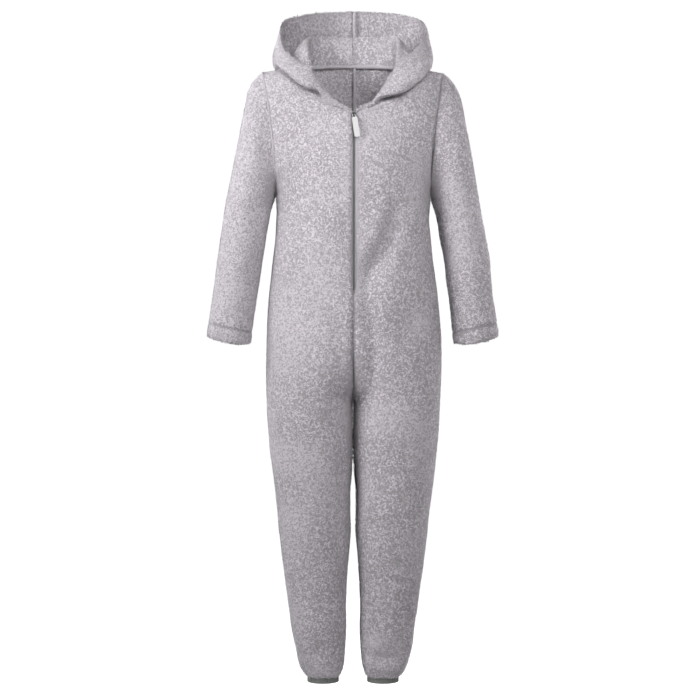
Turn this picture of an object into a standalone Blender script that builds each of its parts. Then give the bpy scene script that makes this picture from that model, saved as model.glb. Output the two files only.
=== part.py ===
"""Hooded fleece one-piece pyjama with a front zip, hollow and filled out as worn.

Metres, +Z up, front towards -Y, +X to the wearer's left. The origin is between the
shoulders, level with the high point of the shoulder seams, where the wearer carries it.
"""

from collections import namedtuple
from math import asin, cos, pi, radians, sin

import bmesh
import bpy
import numpy as np
from mathutils import Matrix, Vector

# Driving dimensions
WALL = 0.006  # fleece with its pile
SEAM_GAP = 0.0003  # between two pieces at a seam
HOOD_SEAM_GAP = 0.0007
SLEEVE_SEAM_GAP = 0.0005
RISE_TOP = -0.600  # height where the crotch curve leaves the centre front and back
CROTCH = -0.790
ARMPIT = -0.300
FULLNESS = 2.3  # exponent of the body's oval sections, 2 is an ellipse
PANEL_COLUMNS = 10
YOKE_ROWS = 12  # from the armpit to the shoulder seam
NECK_FRONT_ROW = 6  # of these rows, the one that ends at the bottom of the front neckline
NECK_BACK_ROW = 8  # and the one that ends at the middle of the back neckline
NECK_SHOULDER = 6.0  # place of the shoulder seam along NECKLINE
NECK_BACK = 9.0  # place of the back neck point along NECKLINE

ZIP_X = 0.0015  # the zip lies a little to the wearer's left of the middle
ZIP_EDGE_RIGHT = 0.0040  # from the middle to the fleece edges beside the zip
ZIP_EDGE_LEFT = 0.0090
ZIP_BOTTOM = -0.524
TAPE_WIDTH = 0.0135
TAPE_THICK = 0.0010
TAPE_GAP = 0.0008  # between the fleece's inner face and the tape
TAPE_TAIL = 0.012  # how far the tapes run on below the teeth
COIL_HEIGHT = 0.0015  # room that the teeth take on the tape

SLIDER_WIDTH = 0.0090
SLIDER_LENGTH = 0.0120
PLATE_THICK = 0.0014
PLATE_GAP = 0.0007  # between the slider's plates and the tapes or their teeth
POST_LENGTH = 0.0020
BAIL_LOW = -0.0105  # where the bail's feet stand along the slider, from its top
BAIL_HIGH = -0.0018
BAIL_WIDTH = 0.0028
BAIL_HEIGHT = 0.0052
BAIL_WIRE = 0.0014
LINK_WIDTH = 0.0074
LINK_LENGTH = 0.0120
LINK_WIRE = 0.0013
LINK_PLAY = 0.0007  # between the link and the top of the bail's opening
TAB_WIDTH = 0.0125
TAB_LENGTH = 0.0490
TAB_THICK = 0.0026
TAB_LEAN = radians(9)  # sideways, to the wearer's left
LINK_SLOPE = radians(36)  # forwards, over the edge of the fleece
TAB_SLOPE = radians(16)  # forwards, as it lies on the chest

# Trunk and leg, from the hem up. outer and inner are the side seam's and the inside
# edge's distances from the middle, front and back are depths from the side seam's plane,
# and steps is how many rows of faces the stretch above the section has.
Section = namedtuple("Section", "height outer inner front back steps")
TRUNK = (
    Section(-1.4225, 0.1075, 0.0325, 0.0370, 0.0390, 1),
    Section(-1.4170, 0.1150, 0.0265, 0.0440, 0.0460, 1),
    Section(-1.4060, 0.1225, 0.0210, 0.0505, 0.0525, 1),
    Section(-1.3900, 0.1290, 0.0180, 0.0555, 0.0580, 1),
    Section(-1.3600, 0.1375, 0.0155, 0.0600, 0.0630, 2),
    Section(-1.2700, 0.1520, 0.0125, 0.0690, 0.0740, 2),
    Section(-1.1750, 0.1650, 0.0090, 0.0770, 0.0810, 2),
    Section(-1.0800, 0.1765, 0.0050, 0.0860, 0.0880, 2),
    Section(-0.9850, 0.1870, 0.0020, 0.0950, 0.0980, 2),
    Section(-0.8900, 0.1960, 0.0009, 0.1040, 0.1100, 3),
    Section(-0.7900, 0.2040, 0.0007, 0.1140, 0.1320, 4),
    Section(-0.6700, 0.2070, 0.0000, 0.1210, 0.1420, 3),
    Section(-0.5450, 0.2015, 0.0000, 0.1240, 0.1280, 3),
    Section(-0.4500, 0.1905, 0.0000, 0.1225, 0.1130, 2),
    Section(-0.3800, 0.1825, 0.0000, 0.1265, 0.1120, 2),
    Section(-0.3000, 0.1800, 0.0000, 0.1280, 0.1170, 0),
)

# Middle of the front and of the back above the armpits: heights and depths.
Middle = namedtuple("Middle", "height depth")
FRONT_MIDDLE = (
    Middle(-0.3000, 0.1280),
    Middle(-0.2500, 0.1265),
    Middle(-0.2000, 0.1200),
    Middle(-0.1600, 0.1110),
    Middle(-0.1166, 0.0980),
)
BACK_MIDDLE = (
    Middle(-0.3000, 0.1170),
    Middle(-0.2200, 0.1190),
    Middle(-0.1400, 0.1130),
    Middle(-0.0500, 0.0930),
    Middle(0.0140, 0.0700),
)

# Neckline from the foot of the front opening over the shoulder to the middle back, and
# one point beyond, which sets its direction there.
Neck = namedtuple("Neck", "across along height")
NECKLINE = (
    Neck(0.0000, -0.0980, -0.1166),
    Neck(0.0185, -0.0970, -0.1105),
    Neck(0.0450, -0.0955, -0.1030),
    Neck(0.0710, -0.0890, -0.0895),
    Neck(0.0960, -0.0700, -0.0580),
    Neck(0.1170, -0.0380, -0.0180),
    Neck(0.1260, 0.0050, 0.0090),
    Neck(0.1120, 0.0420, 0.0120),
    Neck(0.0760, 0.0630, 0.0135),
    Neck(0.0000, 0.0700, 0.0140),
    Neck(-0.0760, 0.0630, 0.0135),
)

# Sleeve rings: the outer line and the underarm line, the half depth, and how far the
# ring's middle lies forward. The first ring is the armhole.
Ring = namedtuple("Ring", "outer_x outer_z under_x under_z depth forward")
SLEEVE = (
    Ring(0.2130, -0.0090, 0.1803, -0.3000, 0.0600, 0.000),
    Ring(0.2300, -0.0220, 0.1812, -0.3040, 0.0630, 0.000),
    Ring(0.2430, -0.0400, 0.1825, -0.3090, 0.0655, 0.000),
    Ring(0.2530, -0.0660, 0.1840, -0.3150, 0.0675, 0.000),
    Ring(0.2590, -0.0980, 0.1860, -0.3240, 0.0685, 0.000),
    Ring(0.2665, -0.1370, 0.1885, -0.3360, 0.0690, 0.001),
    Ring(0.2750, -0.1790, 0.1915, -0.3520, 0.0685, 0.002),
    Ring(0.2840, -0.2270, 0.1955, -0.3740, 0.0670, 0.003),
    Ring(0.2935, -0.2820, 0.2000, -0.4010, 0.0650, 0.005),
    Ring(0.3040, -0.3450, 0.2050, -0.4330, 0.0620, 0.008),
    Ring(0.3130, -0.4080, 0.2105, -0.4660, 0.0590, 0.010),
    Ring(0.3220, -0.4740, 0.2170, -0.5120, 0.0560, 0.012),
    Ring(0.3315, -0.5400, 0.2245, -0.5680, 0.0525, 0.014),
    Ring(0.3400, -0.6000, 0.2310, -0.6230, 0.0495, 0.016),
    Ring(0.3430, -0.6270, 0.2345, -0.6500, 0.0480, 0.017),
)
ARMHOLE_HOLLOW = 0.007  # how far the armhole's middle curves in towards the body

# Hood profiles at places along the neckline, from the seam up. aim is the direction of
# "out" in degrees, from -90 for forwards to 90 for backwards. The crest is where the hood
# folds over, the fold is the lowest line behind it, outside is the middle of the outer
# layer, and the rim is the free edge. Near the front opening the hood is a low band.
Profile = namedtuple(
    "Profile",
    "place aim crest_out crest_up crest_width fold_out fold_up fold_width"
    " outside_out outside_up rim_out rim_up",
)
HOOD_BEHIND = (
    Profile(7.0, 16, -0.0030, 0.0660, 0.0160, 0.0640, -0.0140, 0.0200, 0.0750, 0.0360, 0.0670, 0.0980),
    Profile(8.0, 56, 0.0200, 0.0740, 0.0160, 0.0780, -0.0560, 0.0280, 0.1050, 0.0240, 0.0920, 0.1370),
    Profile(9.0, 90, 0.0270, 0.0750, 0.0160, 0.0840, -0.0740, 0.0320, 0.1180, 0.0220, 0.1150, 0.1530),
    Profile(10.0, 124, 0.0200, 0.0740, 0.0160, 0.0780, -0.0560, 0.0280, 0.1050, 0.0240, 0.0920, 0.1370),
)
HOOD = {
    "right": (
        Profile(0.0, -85, 0.0000, 0.0020, 0.0000, 0.0000, 0.0040, 0.0000, 0.0000, 0.0055, 0.0000, 0.0070),
        Profile(1.0, -82, 0.0000, 0.0024, 0.0000, 0.0000, 0.0046, 0.0000, 0.0000, 0.0064, 0.0000, 0.0080),
        Profile(2.0, -78, 0.0000, 0.0040, 0.0000, 0.0000, 0.0090, 0.0000, -0.0010, 0.0130, -0.0020, 0.0180),
        Profile(2.5, -78, -0.0010, 0.0060, 0.0000, 0.0000, 0.0130, 0.0000, -0.0010, 0.0200, -0.0040, 0.0290),
        Profile(3.0, -76, -0.0020, 0.0110, 0.0000, 0.0020, 0.0200, 0.0000, 0.0020, 0.0300, -0.0050, 0.0390),
        Profile(3.5, -72, -0.0070, 0.0180, 0.0110, 0.0120, 0.0130, 0.0100, 0.0150, 0.0270, -0.0040, 0.0460),
        Profile(4.0, -64, -0.0120, 0.0240, 0.0140, 0.0230, -0.0020, 0.0130, 0.0280, 0.0160, 0.0020, 0.0490),
        Profile(4.5, -50, -0.0140, 0.0310, 0.0130, 0.0310, -0.0070, 0.0140, 0.0370, 0.0130, 0.0090, 0.0370),
        Profile(5.0, -34, -0.0150, 0.0420, 0.0140, 0.0360, -0.0050, 0.0150, 0.0430, 0.0140, 0.0170, 0.0330),
        Profile(5.5, -21, -0.0160, 0.0450, 0.0150, 0.0420, -0.0020, 0.0160, 0.0500, 0.0170, 0.0290, 0.0330),
        Profile(6.0, -10, -0.0160, 0.0480, 0.0150, 0.0480, -0.0040, 0.0170, 0.0590, 0.0200, 0.0390, 0.0410),
        Profile(6.5, 2, -0.0100, 0.0580, 0.0160, 0.0560, -0.0070, 0.0180, 0.0690, 0.0270, 0.0520, 0.0640),
        *HOOD_BEHIND,
    ),
    "left": (
        Profile(0.0, -85, 0.0000, 0.0020, 0.0000, 0.0000, 0.0040, 0.0000, 0.0000, 0.0055, 0.0000, 0.0070),
        Profile(1.0, -82, 0.0000, 0.0024, 0.0000, 0.0000, 0.0046, 0.0000, 0.0000, 0.0064, 0.0000, 0.0080),
        Profile(2.0, -78, -0.0005, 0.0040, 0.0000, 0.0005, 0.0080, 0.0000, 0.0005, 0.0110, -0.0010, 0.0150),
        Profile(2.5, -77, -0.0020, 0.0090, 0.0000, 0.0030, 0.0150, 0.0000, 0.0030, 0.0200, -0.0030, 0.0270),
        Profile(3.0, -74, -0.0070, 0.0180, 0.0120, 0.0140, 0.0090, 0.0100, 0.0190, 0.0220, -0.0050, 0.0380),
        Profile(3.5, -68, -0.0110, 0.0220, 0.0130, 0.0260, -0.0040, 0.0130, 0.0320, 0.0130, -0.0050, 0.0460),
        Profile(4.0, -59, -0.0130, 0.0250, 0.0140, 0.0340, -0.0140, 0.0140, 0.0400, 0.0080, -0.0020, 0.0500),
        Profile(4.5, -47, -0.0140, 0.0300, 0.0140, 0.0420, -0.0180, 0.0150, 0.0480, 0.0050, 0.0030, 0.0470),
        Profile(5.0, -36, -0.0150, 0.0380, 0.0140, 0.0500, -0.0180, 0.0170, 0.0570, 0.0060, 0.0120, 0.0420),
        Profile(5.5, -26, -0.0160, 0.0430, 0.0150, 0.0530, -0.0090, 0.0170, 0.0600, 0.0120, 0.0220, 0.0420),
        Profile(6.0, -13, -0.0160, 0.0470, 0.0150, 0.0530, -0.0050, 0.0170, 0.0610, 0.0170, 0.0340, 0.0480),
        Profile(6.5, 2, -0.0100, 0.0580, 0.0160, 0.0570, -0.0070, 0.0180, 0.0680, 0.0270, 0.0510, 0.0700),
        *HOOD_BEHIND,
    ),
}
STAND_START = 0.006  # how far the hood runs on in line with the body before it turns up
STAND_SHARE = 0.12  # of a low band's height, where that is less
FOLD_DEPTH = 0.010  # from here on the crest and the fold have their full roundness
ROLL = 0.45  # how far a crest or a fold turns, as a share of its width
SEAM_TURN = 0.004  # how soon the wall turns from the body's direction to the hood's own
SOFTNESS = 6  # passes that round the hood's curve
SOFT_STEP = 0.0015  # between the curve's points in these passes
HOOD_STEPS = (1, 3, 2, 2, 3, 2, 2, 3, 3)  # rows of faces between the profile's points
HOOD_FRONT_SPLIT = 3  # hood columns for each body row along the neckline
HOOD_BACK_SPLIT = 3

# Soft troughs in the cloth: a line in the x, z plane on the front or the back, how deep
# it is in its middle, and half its width.
Trough = namedtuple("Trough", "face side start end depth width")
TROUGHS = (
    Trough("front", 1, (0.098, -0.345), (0.050, -0.450), 0.0060, 0.020),
    Trough("front", 1, (0.052, -0.440), (0.030, -0.530), 0.0070, 0.016),
    Trough("front", 1, (0.046, -0.620), (0.040, -0.760), 0.0070, 0.018),
    Trough("front", -1, (-0.120, -0.420), (-0.060, -0.470), 0.0030, 0.018),
    Trough("back", 1, (0.110, -0.380), (0.040, -0.480), 0.0050, 0.020),
    Trough("back", -1, (-0.100, -0.400), (-0.050, -0.520), 0.0050, 0.020),
    Trough("back", 1, (0.120, -0.760), (0.040, -0.840), 0.0060, 0.018),
    Trough("back", -1, (-0.130, -0.740), (-0.040, -0.830), 0.0060, 0.018),
)
GATHER_DEPTH = 0.0022  # of the folds that the ankle elastic draws up
GATHER_TOP = -1.385

BAND_TOP = -1.4228
BAND_BOTTOM = -1.4345
BAND_THICK = 0.0035
BAND_SIDES = 32
BAND_WIDTH = 0.0755  # across and along, at the hem
BAND_DEPTH = 0.0760

SIDES = {"left": 1, "right": -1}


def smooth_value(knots, values, at):
    """The value at a place on a smooth curve through the values at the knots."""
    knots = np.asarray(knots, float)
    values = np.asarray(values, float)
    steps = np.diff(knots)
    slopes = (np.diff(values, axis=0).T / steps).T  # each row by its own step
    tangents = np.empty_like(values)
    tangents[0] = slopes[0]
    tangents[-1] = slopes[-1]
    for i in range(1, len(knots) - 1):
        share = steps[i] / (steps[i - 1] + steps[i])
        tangents[i] = slopes[i - 1] * share + slopes[i] * (1 - share)
    i = int(np.clip(np.searchsorted(knots, at) - 1, 0, len(steps) - 1))
    t = (at - knots[i]) / steps[i]
    return (
        (2 * t**3 - 3 * t**2 + 1) * values[i]
        + (t**3 - 2 * t**2 + t) * steps[i] * tangents[i]
        + (3 * t**2 - 2 * t**3) * values[i + 1]
        + (t**3 - t**2) * steps[i] * tangents[i + 1]
    )


def unit(vectors):
    """The vectors with length 1."""
    lengths = np.linalg.norm(vectors, axis=-1, keepdims=True)
    return vectors / np.maximum(lengths, 1e-12)


def grid_normals(points, outward_sign, closed=False):
    """Normals of a grid of points, from the points beside each one."""
    along_rows = np.gradient(points, axis=0)
    if closed:
        along_columns = np.roll(points, -1, axis=1) - np.roll(points, 1, axis=1)
    else:
        along_columns = np.gradient(points, axis=1)
    return outward_sign * unit(np.cross(along_rows, along_columns))


def share_normals(first, second, first_at, second_at):
    """Gives two pieces the same normals where they meet in a smooth or raised seam."""
    for a, b in zip(first_at, second_at, strict=True):
        if first[a] @ second[b] > 0.5:
            shared = unit(first[a] + second[b])
            first[a] = shared
            second[b] = shared


def make_material(name, colour, roughness, metallic=0.0):
    """A plain Principled material."""
    material = bpy.data.materials.new(name)
    material.use_nodes = True
    shader = material.node_tree.nodes["Principled BSDF"]
    shader.inputs["Base Color"].default_value = (*colour, 1.0)
    shader.inputs["Roughness"].default_value = roughness
    shader.inputs["Metallic"].default_value = metallic
    return material


def add_object(name, mesh, material, collection):
    """An object of this mesh in the collection, shaded smooth but for sharp edges."""
    piece = bpy.data.objects.new(name, mesh)
    piece.data.materials.append(material)
    collection.objects.link(piece)
    mesh.shade_smooth()
    mesh.set_sharp_from_angle(angle=radians(40))
    return piece


def wall_mesh(name, outer, inner, closed=False):
    """A closed wall between two grids of points. A closed grid goes right round."""
    rows, columns = outer.shape[:2]
    mesh = bmesh.new()
    front = [[mesh.verts.new(point) for point in row] for row in outer]
    rear = [[mesh.verts.new(point) for point in row] for row in inner]
    spans = columns if closed else columns - 1
    for i in range(rows - 1):
        for j in range(spans):
            k = (j + 1) % columns
            mesh.faces.new((front[i][j], front[i][k], front[i + 1][k], front[i + 1][j]))
            mesh.faces.new((rear[i][j], rear[i + 1][j], rear[i + 1][k], rear[i][k]))
    for j in range(spans):
        k = (j + 1) % columns
        mesh.faces.new((front[0][j], rear[0][j], rear[0][k], front[0][k]))
        mesh.faces.new((front[-1][j], front[-1][k], rear[-1][k], rear[-1][j]))
    if not closed:
        for i in range(rows - 1):
            mesh.faces.new((front[i][0], front[i + 1][0], rear[i + 1][0], rear[i][0]))
            mesh.faces.new((front[i][-1], rear[i][-1], rear[i + 1][-1], front[i + 1][-1]))
    bmesh.ops.recalc_face_normals(mesh, faces=mesh.faces)
    result = bpy.data.meshes.new(name)
    mesh.to_mesh(result)
    mesh.free()
    return result


def signed_power(value, exponent):
    """A power that keeps the value's sign."""
    return np.sign(value) * abs(value) ** exponent


def trunk_heights():
    """Heights of the rows from the hem to the armpit."""
    heights = []
    for low, high in zip(TRUNK, TRUNK[1:], strict=False):
        heights += list(np.linspace(low.height, high.height, low.steps, endpoint=False))
    return [*heights, ARMPIT]


def trunk_section(height):
    """The side seam, inside edge, front and back of the trunk at a height."""
    return smooth_value(
        [s.height for s in TRUNK], [(s.outer, s.inner, s.front, s.back) for s in TRUNK], height
    )


def zip_edge(side, height):
    """How far the fleece edge beside the zip lies from the middle."""
    edge = ZIP_EDGE_LEFT if side > 0 else ZIP_EDGE_RIGHT
    below = np.clip((ZIP_BOTTOM - height) / 0.02, 0, 1)
    return edge * (1 - below)


def middle_edge(side, face, height):
    """How far a panel's inside edge lies from the middle, down to the crotch."""
    return zip_edge(side, height) if face == "front" else 0.0


def trunk_row(side, face, height):
    """Points across a panel at a height below the armpit, from the inside edge."""
    outer, inner, front, back = trunk_section(height)
    if height > CROTCH:
        inner = max(inner, middle_edge(side, face, height))
    depth = -front if face == "front" else back
    rise = np.clip((RISE_TOP - height) / (RISE_TOP - CROTCH), 0, 1)
    start = -asin(rise)
    power = 2 / FULLNESS
    half_width = (outer - inner) / (1 - signed_power(sin(start), power))
    centre = outer - half_width
    row = []
    for j in range(PANEL_COLUMNS + 1):
        angle = start + (pi / 2 - start) * j / PANEL_COLUMNS
        x = centre + half_width * signed_power(sin(angle), power)
        y = depth * abs(cos(angle)) ** power
        gather = np.clip((GATHER_TOP - height) / (GATHER_TOP - TRUNK[0].height), 0, 1)
        if 0 < j < PANEL_COLUMNS:
            swell = 1 + (-1) ** j * gather * GATHER_DEPTH / half_width
            x = centre + (x - centre) * swell
            y *= swell
        row.append((side * x, y, height))
    return row


def neck_point(side, place):
    """A point of the neckline, from 0 at the foot of the opening to NECK_BACK."""
    x, y, z = smooth_value(range(len(NECKLINE)), NECKLINE, place)
    if place < 1:
        x += zip_edge(side, z) * (1 - place)
    return np.array((side * max(x, 0.0), y, z))


def ring_point(ring, side, angle):
    """A point of a sleeve ring: 0 is its outer line, a quarter turn is its front."""
    middle_x = (ring.outer_x + ring.under_x) / 2
    middle_z = (ring.outer_z + ring.under_z) / 2
    half_x = (ring.outer_x - ring.under_x) / 2
    half_z = (ring.outer_z - ring.under_z) / 2
    hollow = ARMHOLE_HOLLOW * sin(angle) ** 2 * np.clip(1 - (ring.outer_x - 0.213) / 0.05, 0, 1)
    x = middle_x + half_x * cos(angle) - hollow
    y = -ring.depth * sin(angle) - ring.forward
    z = middle_z + half_z * cos(angle)
    return np.array((side * x, y, z))


def yoke_row(side, face, k):
    """Points across a panel above the armpit, from the middle or neckline to the armhole."""
    turn = pi * (1 - k / YOKE_ROWS)
    end = ring_point(SLEEVE[0], side, turn if face == "front" else -turn)
    middle = FRONT_MIDDLE if face == "front" else BACK_MIDDLE
    corner = NECK_FRONT_ROW if face == "front" else NECK_BACK_ROW
    if k < corner:
        height = middle[0].height + (middle[-1].height - middle[0].height) * k / corner
        depth = smooth_value([m.height for m in middle], [m.depth for m in middle], height)
        y = -depth if face == "front" else depth
        start = np.array((side * middle_edge(side, face, height), y, height))
    elif face == "front":
        start = neck_point(side, NECK_SHOULDER * (k - corner) / (YOKE_ROWS - corner))
    else:
        back = NECK_BACK - NECK_SHOULDER
        start = neck_point(side, NECK_BACK - back * (k - corner) / (YOKE_ROWS - corner))
    power = 2 / FULLNESS
    last = pi / 2 - radians(32) * np.clip(2.5 * k / YOKE_ROWS, 0, 1)
    row = []
    for j in range(PANEL_COLUMNS + 1):
        angle = last * j / PANEL_COLUMNS
        across = (sin(angle) / sin(last)) ** power
        rest = cos(last) ** power
        bulge = (cos(angle) ** power - rest) / (1 - rest)
        row.append(
            (
                start[0] + (end[0] - start[0]) * across,
                end[1] + (start[1] - end[1]) * bulge,
                start[2] + (end[2] - start[2]) * across,
            )
        )
    return row


def trough_depth(face, point):
    """How far the soft troughs push in a point of the front or back."""
    x, _, z = point
    depth = 0.0
    for trough in TROUGHS:
        if trough.face != face:
            continue
        start = np.array(trough.start)
        line = np.array(trough.end) - start
        place = np.clip((np.array((x, z)) - start) @ line / (line @ line), 0, 1)
        away = np.linalg.norm(np.array((x, z)) - start - place * line)
        depth += trough.depth * (0.35 + 0.65 * sin(pi * place)) * np.exp(-((away / trough.width) ** 2))
    return depth


def body_panels(side):
    """Outer points and normals of the front and the back panel of one side."""
    heights = trunk_heights()
    points = {}
    normals = {}
    for face in ("front", "back"):
        rows = [trunk_row(side, face, height) for height in heights]
        rows += [yoke_row(side, face, k) for k in range(1, YOKE_ROWS + 1)]
        points[face] = np.array(rows)
        outward = -side if face == "front" else side
        normals[face] = grid_normals(points[face], outward)
    rows = len(points["front"])
    below_crotch = [i for i, height in enumerate(heights) if height <= CROTCH]
    above_rise = [i for i, height in enumerate(heights) if height >= RISE_TOP]
    middle_rows = {"front": NECK_FRONT_ROW, "back": NECK_BACK_ROW}
    for face in ("front", "back"):
        middle = [*above_rise, *range(len(heights), len(heights) + middle_rows[face])]
        normals[face][middle, 0, 0] = 0.0
        normals[face] = unit(normals[face])
    front, back = normals["front"], normals["back"]
    side_seam = [(i, PANEL_COLUMNS) for i in range(len(heights))]
    inseam = [(i, 0) for i in below_crotch]
    shoulder = [(rows - 1, j) for j in range(PANEL_COLUMNS + 1)]
    for seam in (side_seam, inseam, shoulder):
        share_normals(front, back, seam, seam)
    for face in ("front", "back"):
        pushed = [[trough_depth(face, point) for point in row] for row in points[face]]
        points[face] = points[face] - normals[face] * np.array(pushed)[..., None]
    return points, normals


def draw_in(grid, amount, at_start, at_end, at_top):
    """The grid with its edges moved inwards, so that seams keep their gap."""
    result = grid.copy()
    if at_start:
        result[:, 0] += unit(grid[:, 1] - grid[:, 0]) * amount
    if at_end:
        result[:, -1] += unit(grid[:, -2] - grid[:, -1]) * amount
    if at_top:
        result[-1] += unit(grid[-2] - grid[-1]) * amount
    return result


def sleeve_rings(side):
    """Outer points and normals of a sleeve, ring by ring from the armhole."""
    turns = [pi * k / YOKE_ROWS for k in range(2 * YOKE_ROWS)]
    points = np.array([[ring_point(ring, side, turn) for turn in turns] for ring in SLEEVE])
    return points, grid_normals(points, -side, closed=True)


def share_armhole(body_normals, sleeve_normals):
    """Gives the panels and the sleeve the same normals where they run on smoothly."""
    first_row = len(trunk_heights()) - 1
    around = 2 * YOKE_ROWS
    for face, way in (("front", 1), ("back", -1)):
        for k in range(1, YOKE_ROWS):
            ring_at = [(0, way * (YOKE_ROWS - k) % around)]
            body_at = [(first_row + k, PANEL_COLUMNS)]
            share_normals(sleeve_normals, body_normals[face], ring_at, body_at)
    tip = (first_row + YOKE_ROWS, PANEL_COLUMNS)
    shared = unit(sleeve_normals[0, 0] + body_normals["front"][tip])
    sleeve_normals[0, 0] = shared
    body_normals["front"][tip] = shared
    body_normals["back"][tip] = shared


def make_panel(name, points, normals, collection, fleece):
    """A front or back panel: the wall on its outer points. Returns its inner points."""
    outer = draw_in(points, SEAM_GAP / 2, True, True, True)
    inner = draw_in(points - normals * WALL, SEAM_GAP / 2, True, True, True)
    add_object(name, wall_mesh(name, outer, inner), fleece, collection)
    return inner


def make_sleeve(name, points, normals, collection, fleece):
    """A sleeve: a tube through its rings, that starts at the armhole."""
    outer = points.copy()
    inner = points - normals * WALL
    for grid in (outer, inner):
        grid[0] += unit(grid[1] - grid[0]) * SLEEVE_SEAM_GAP
    add_object(name, wall_mesh(name, outer, inner, closed=True), fleece, collection)


def neck_edge(points, normals, side):
    """Where the hood starts: places along the neckline, with point, way on and normal."""
    trunk_rows = len(trunk_heights())
    edge = []
    for k in range(NECK_FRONT_ROW, YOKE_ROWS + 1):
        place = NECK_SHOULDER * (k - NECK_FRONT_ROW) / (YOKE_ROWS - NECK_FRONT_ROW)
        row = trunk_rows - 1 + k
        edge.append((place, points["front"][row, 0], normals["front"][row, 0]))
    for k in range(YOKE_ROWS - 1, NECK_BACK_ROW - 1, -1):
        share = (k - NECK_BACK_ROW) / (YOKE_ROWS - NECK_BACK_ROW)
        place = NECK_BACK - (NECK_BACK - NECK_SHOULDER) * share
        row = trunk_rows - 1 + k
        edge.append((place, points["back"][row, 0], normals["back"][row, 0]))
    places = np.array([e[0] for e in edge])
    outer = np.array([e[1] for e in edge])
    normal = np.array([e[2] for e in edge])
    normal[-1, 0] = 0.0
    normal = unit(normal)
    way = np.gradient(outer, axis=0)
    way[-1] = (side, 0.0, 0.0) if way[-1, 0] * side > 0 else (-side, 0.0, 0.0)
    onward = unit(np.cross(way, normal)) * -side
    return places, outer - normal * WALL / 2, onward, normal


def profile_steps(profile):
    """Steps out and up from the neck seam to the points that the hood's curve passes."""
    depth = max(0.0, profile.crest_up - profile.fold_up)
    spread = 0.05 * profile.rim_up * (1 - min(1.0, depth / FOLD_DEPTH))
    steps = []
    for out, up, width, way in (
        (profile.crest_out, profile.crest_up, profile.crest_width, -1),
        (profile.fold_out, profile.fold_up, profile.fold_width, 1),
    ):
        turn = way * min(ROLL * width, ROLL * depth)
        steps.append((out - width / 2, up + turn - spread))
        steps.append((out, up))
        steps.append((out + width / 2, up + turn + spread))
    return [*steps, (profile.outside_out, profile.outside_up), (profile.rim_out, profile.rim_up)]


def run_lengths(points):
    """How far along a line each of its points lies."""
    return np.concatenate(([0.0], np.cumsum(np.linalg.norm(np.diff(points, axis=0), axis=1))))


def profile_curve(controls):
    """A soft curve past the profile's points, as HOOD_STEPS says."""
    controls = np.array(controls)
    steps = np.linalg.norm(np.diff(controls, axis=0), axis=1)
    knots = np.concatenate(([0.0], np.cumsum(np.maximum(steps, 1e-4) ** 0.7)))
    fine = np.array([smooth_value(knots, controls, at) for at in np.linspace(0, knots[-1], 160)])
    lengths = run_lengths(fine)
    at_controls = np.interp(knots, np.linspace(0, knots[-1], 160), lengths)
    even = np.linspace(0, lengths[-1], max(4, int(lengths[-1] / SOFT_STEP)))
    curve = np.array([np.interp(even, lengths, fine[:, k]) for k in range(3)]).T
    for _ in range(SOFTNESS):
        curve[1:-1] = (curve[:-2] + 2 * curve[1:-1] + curve[2:]) / 4
    wanted = [0.0]
    for low, high, count in zip(at_controls, at_controls[1:], HOOD_STEPS, strict=False):
        wanted += [low + (high - low) * (k + 1) / count for k in range(count)]
    return np.array([np.interp(wanted, even, curve[:, k]) for k in range(3)]).T


def hood_profile(side_name, place, start, onward):
    """The hood's middle line from the neck seam to the rim at one place, and its normals."""
    table = HOOD[side_name]
    profile = Profile(*smooth_value([p.place for p in table], table, place))
    aim = radians(profile.aim)
    out = np.array((SIDES[side_name] * cos(aim), sin(aim), 0.0))
    up = np.array((0.0, 0.0, 1.0))
    reach = min(STAND_START, STAND_SHARE * profile.rim_up)
    points = [start + onward * HOOD_SEAM_GAP, start + onward * reach]
    points += [start + out * step + up * height for step, height in profile_steps(profile)]
    line = profile_curve(points)
    return line, unit(np.cross(np.gradient(line, axis=0), np.cross(out, up)))


def make_hood_half(side_name, points, normals, collection, fleece):
    """One half of the hood, from the neck seam to the rim and the centre seam."""
    side = SIDES[side_name]
    places, start, onward, normal = neck_edge(points, normals, side)
    lines = []
    ways = []
    for i in range(len(places) - 1):
        split = HOOD_FRONT_SPLIT if places[i] < NECK_SHOULDER else HOOD_BACK_SPLIT
        for step in range(split + (i == len(places) - 2)):
            share = step / split
            place = places[i] + (places[i + 1] - places[i]) * share
            base = start[i] * (1 - share) + start[i + 1] * share
            way_on = unit(onward[i] * (1 - share) + onward[i + 1] * share)
            line, way = hood_profile(side_name, place, base, way_on)
            seam_way = unit(normal[i] * (1 - share) + normal[i + 1] * share)
            near = np.exp(-run_lengths(line) / SEAM_TURN)[:, None]
            lines.append(line)
            ways.append(unit(seam_way * near + way * (1 - near)))
    grid = np.array(lines)
    grid_way = np.array(ways)
    grid_way[-1, :, 0] = 0.0
    grid_way = unit(grid_way)
    outer = grid + grid_way * WALL / 2
    inner = grid - grid_way * WALL / 2
    for wall in (outer, inner):
        wall[-1, :, 0] = side * SEAM_GAP / 2
    name = f"hood_{side_name}"
    add_object(name, wall_mesh(name, outer, inner), fleece, collection)


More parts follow.
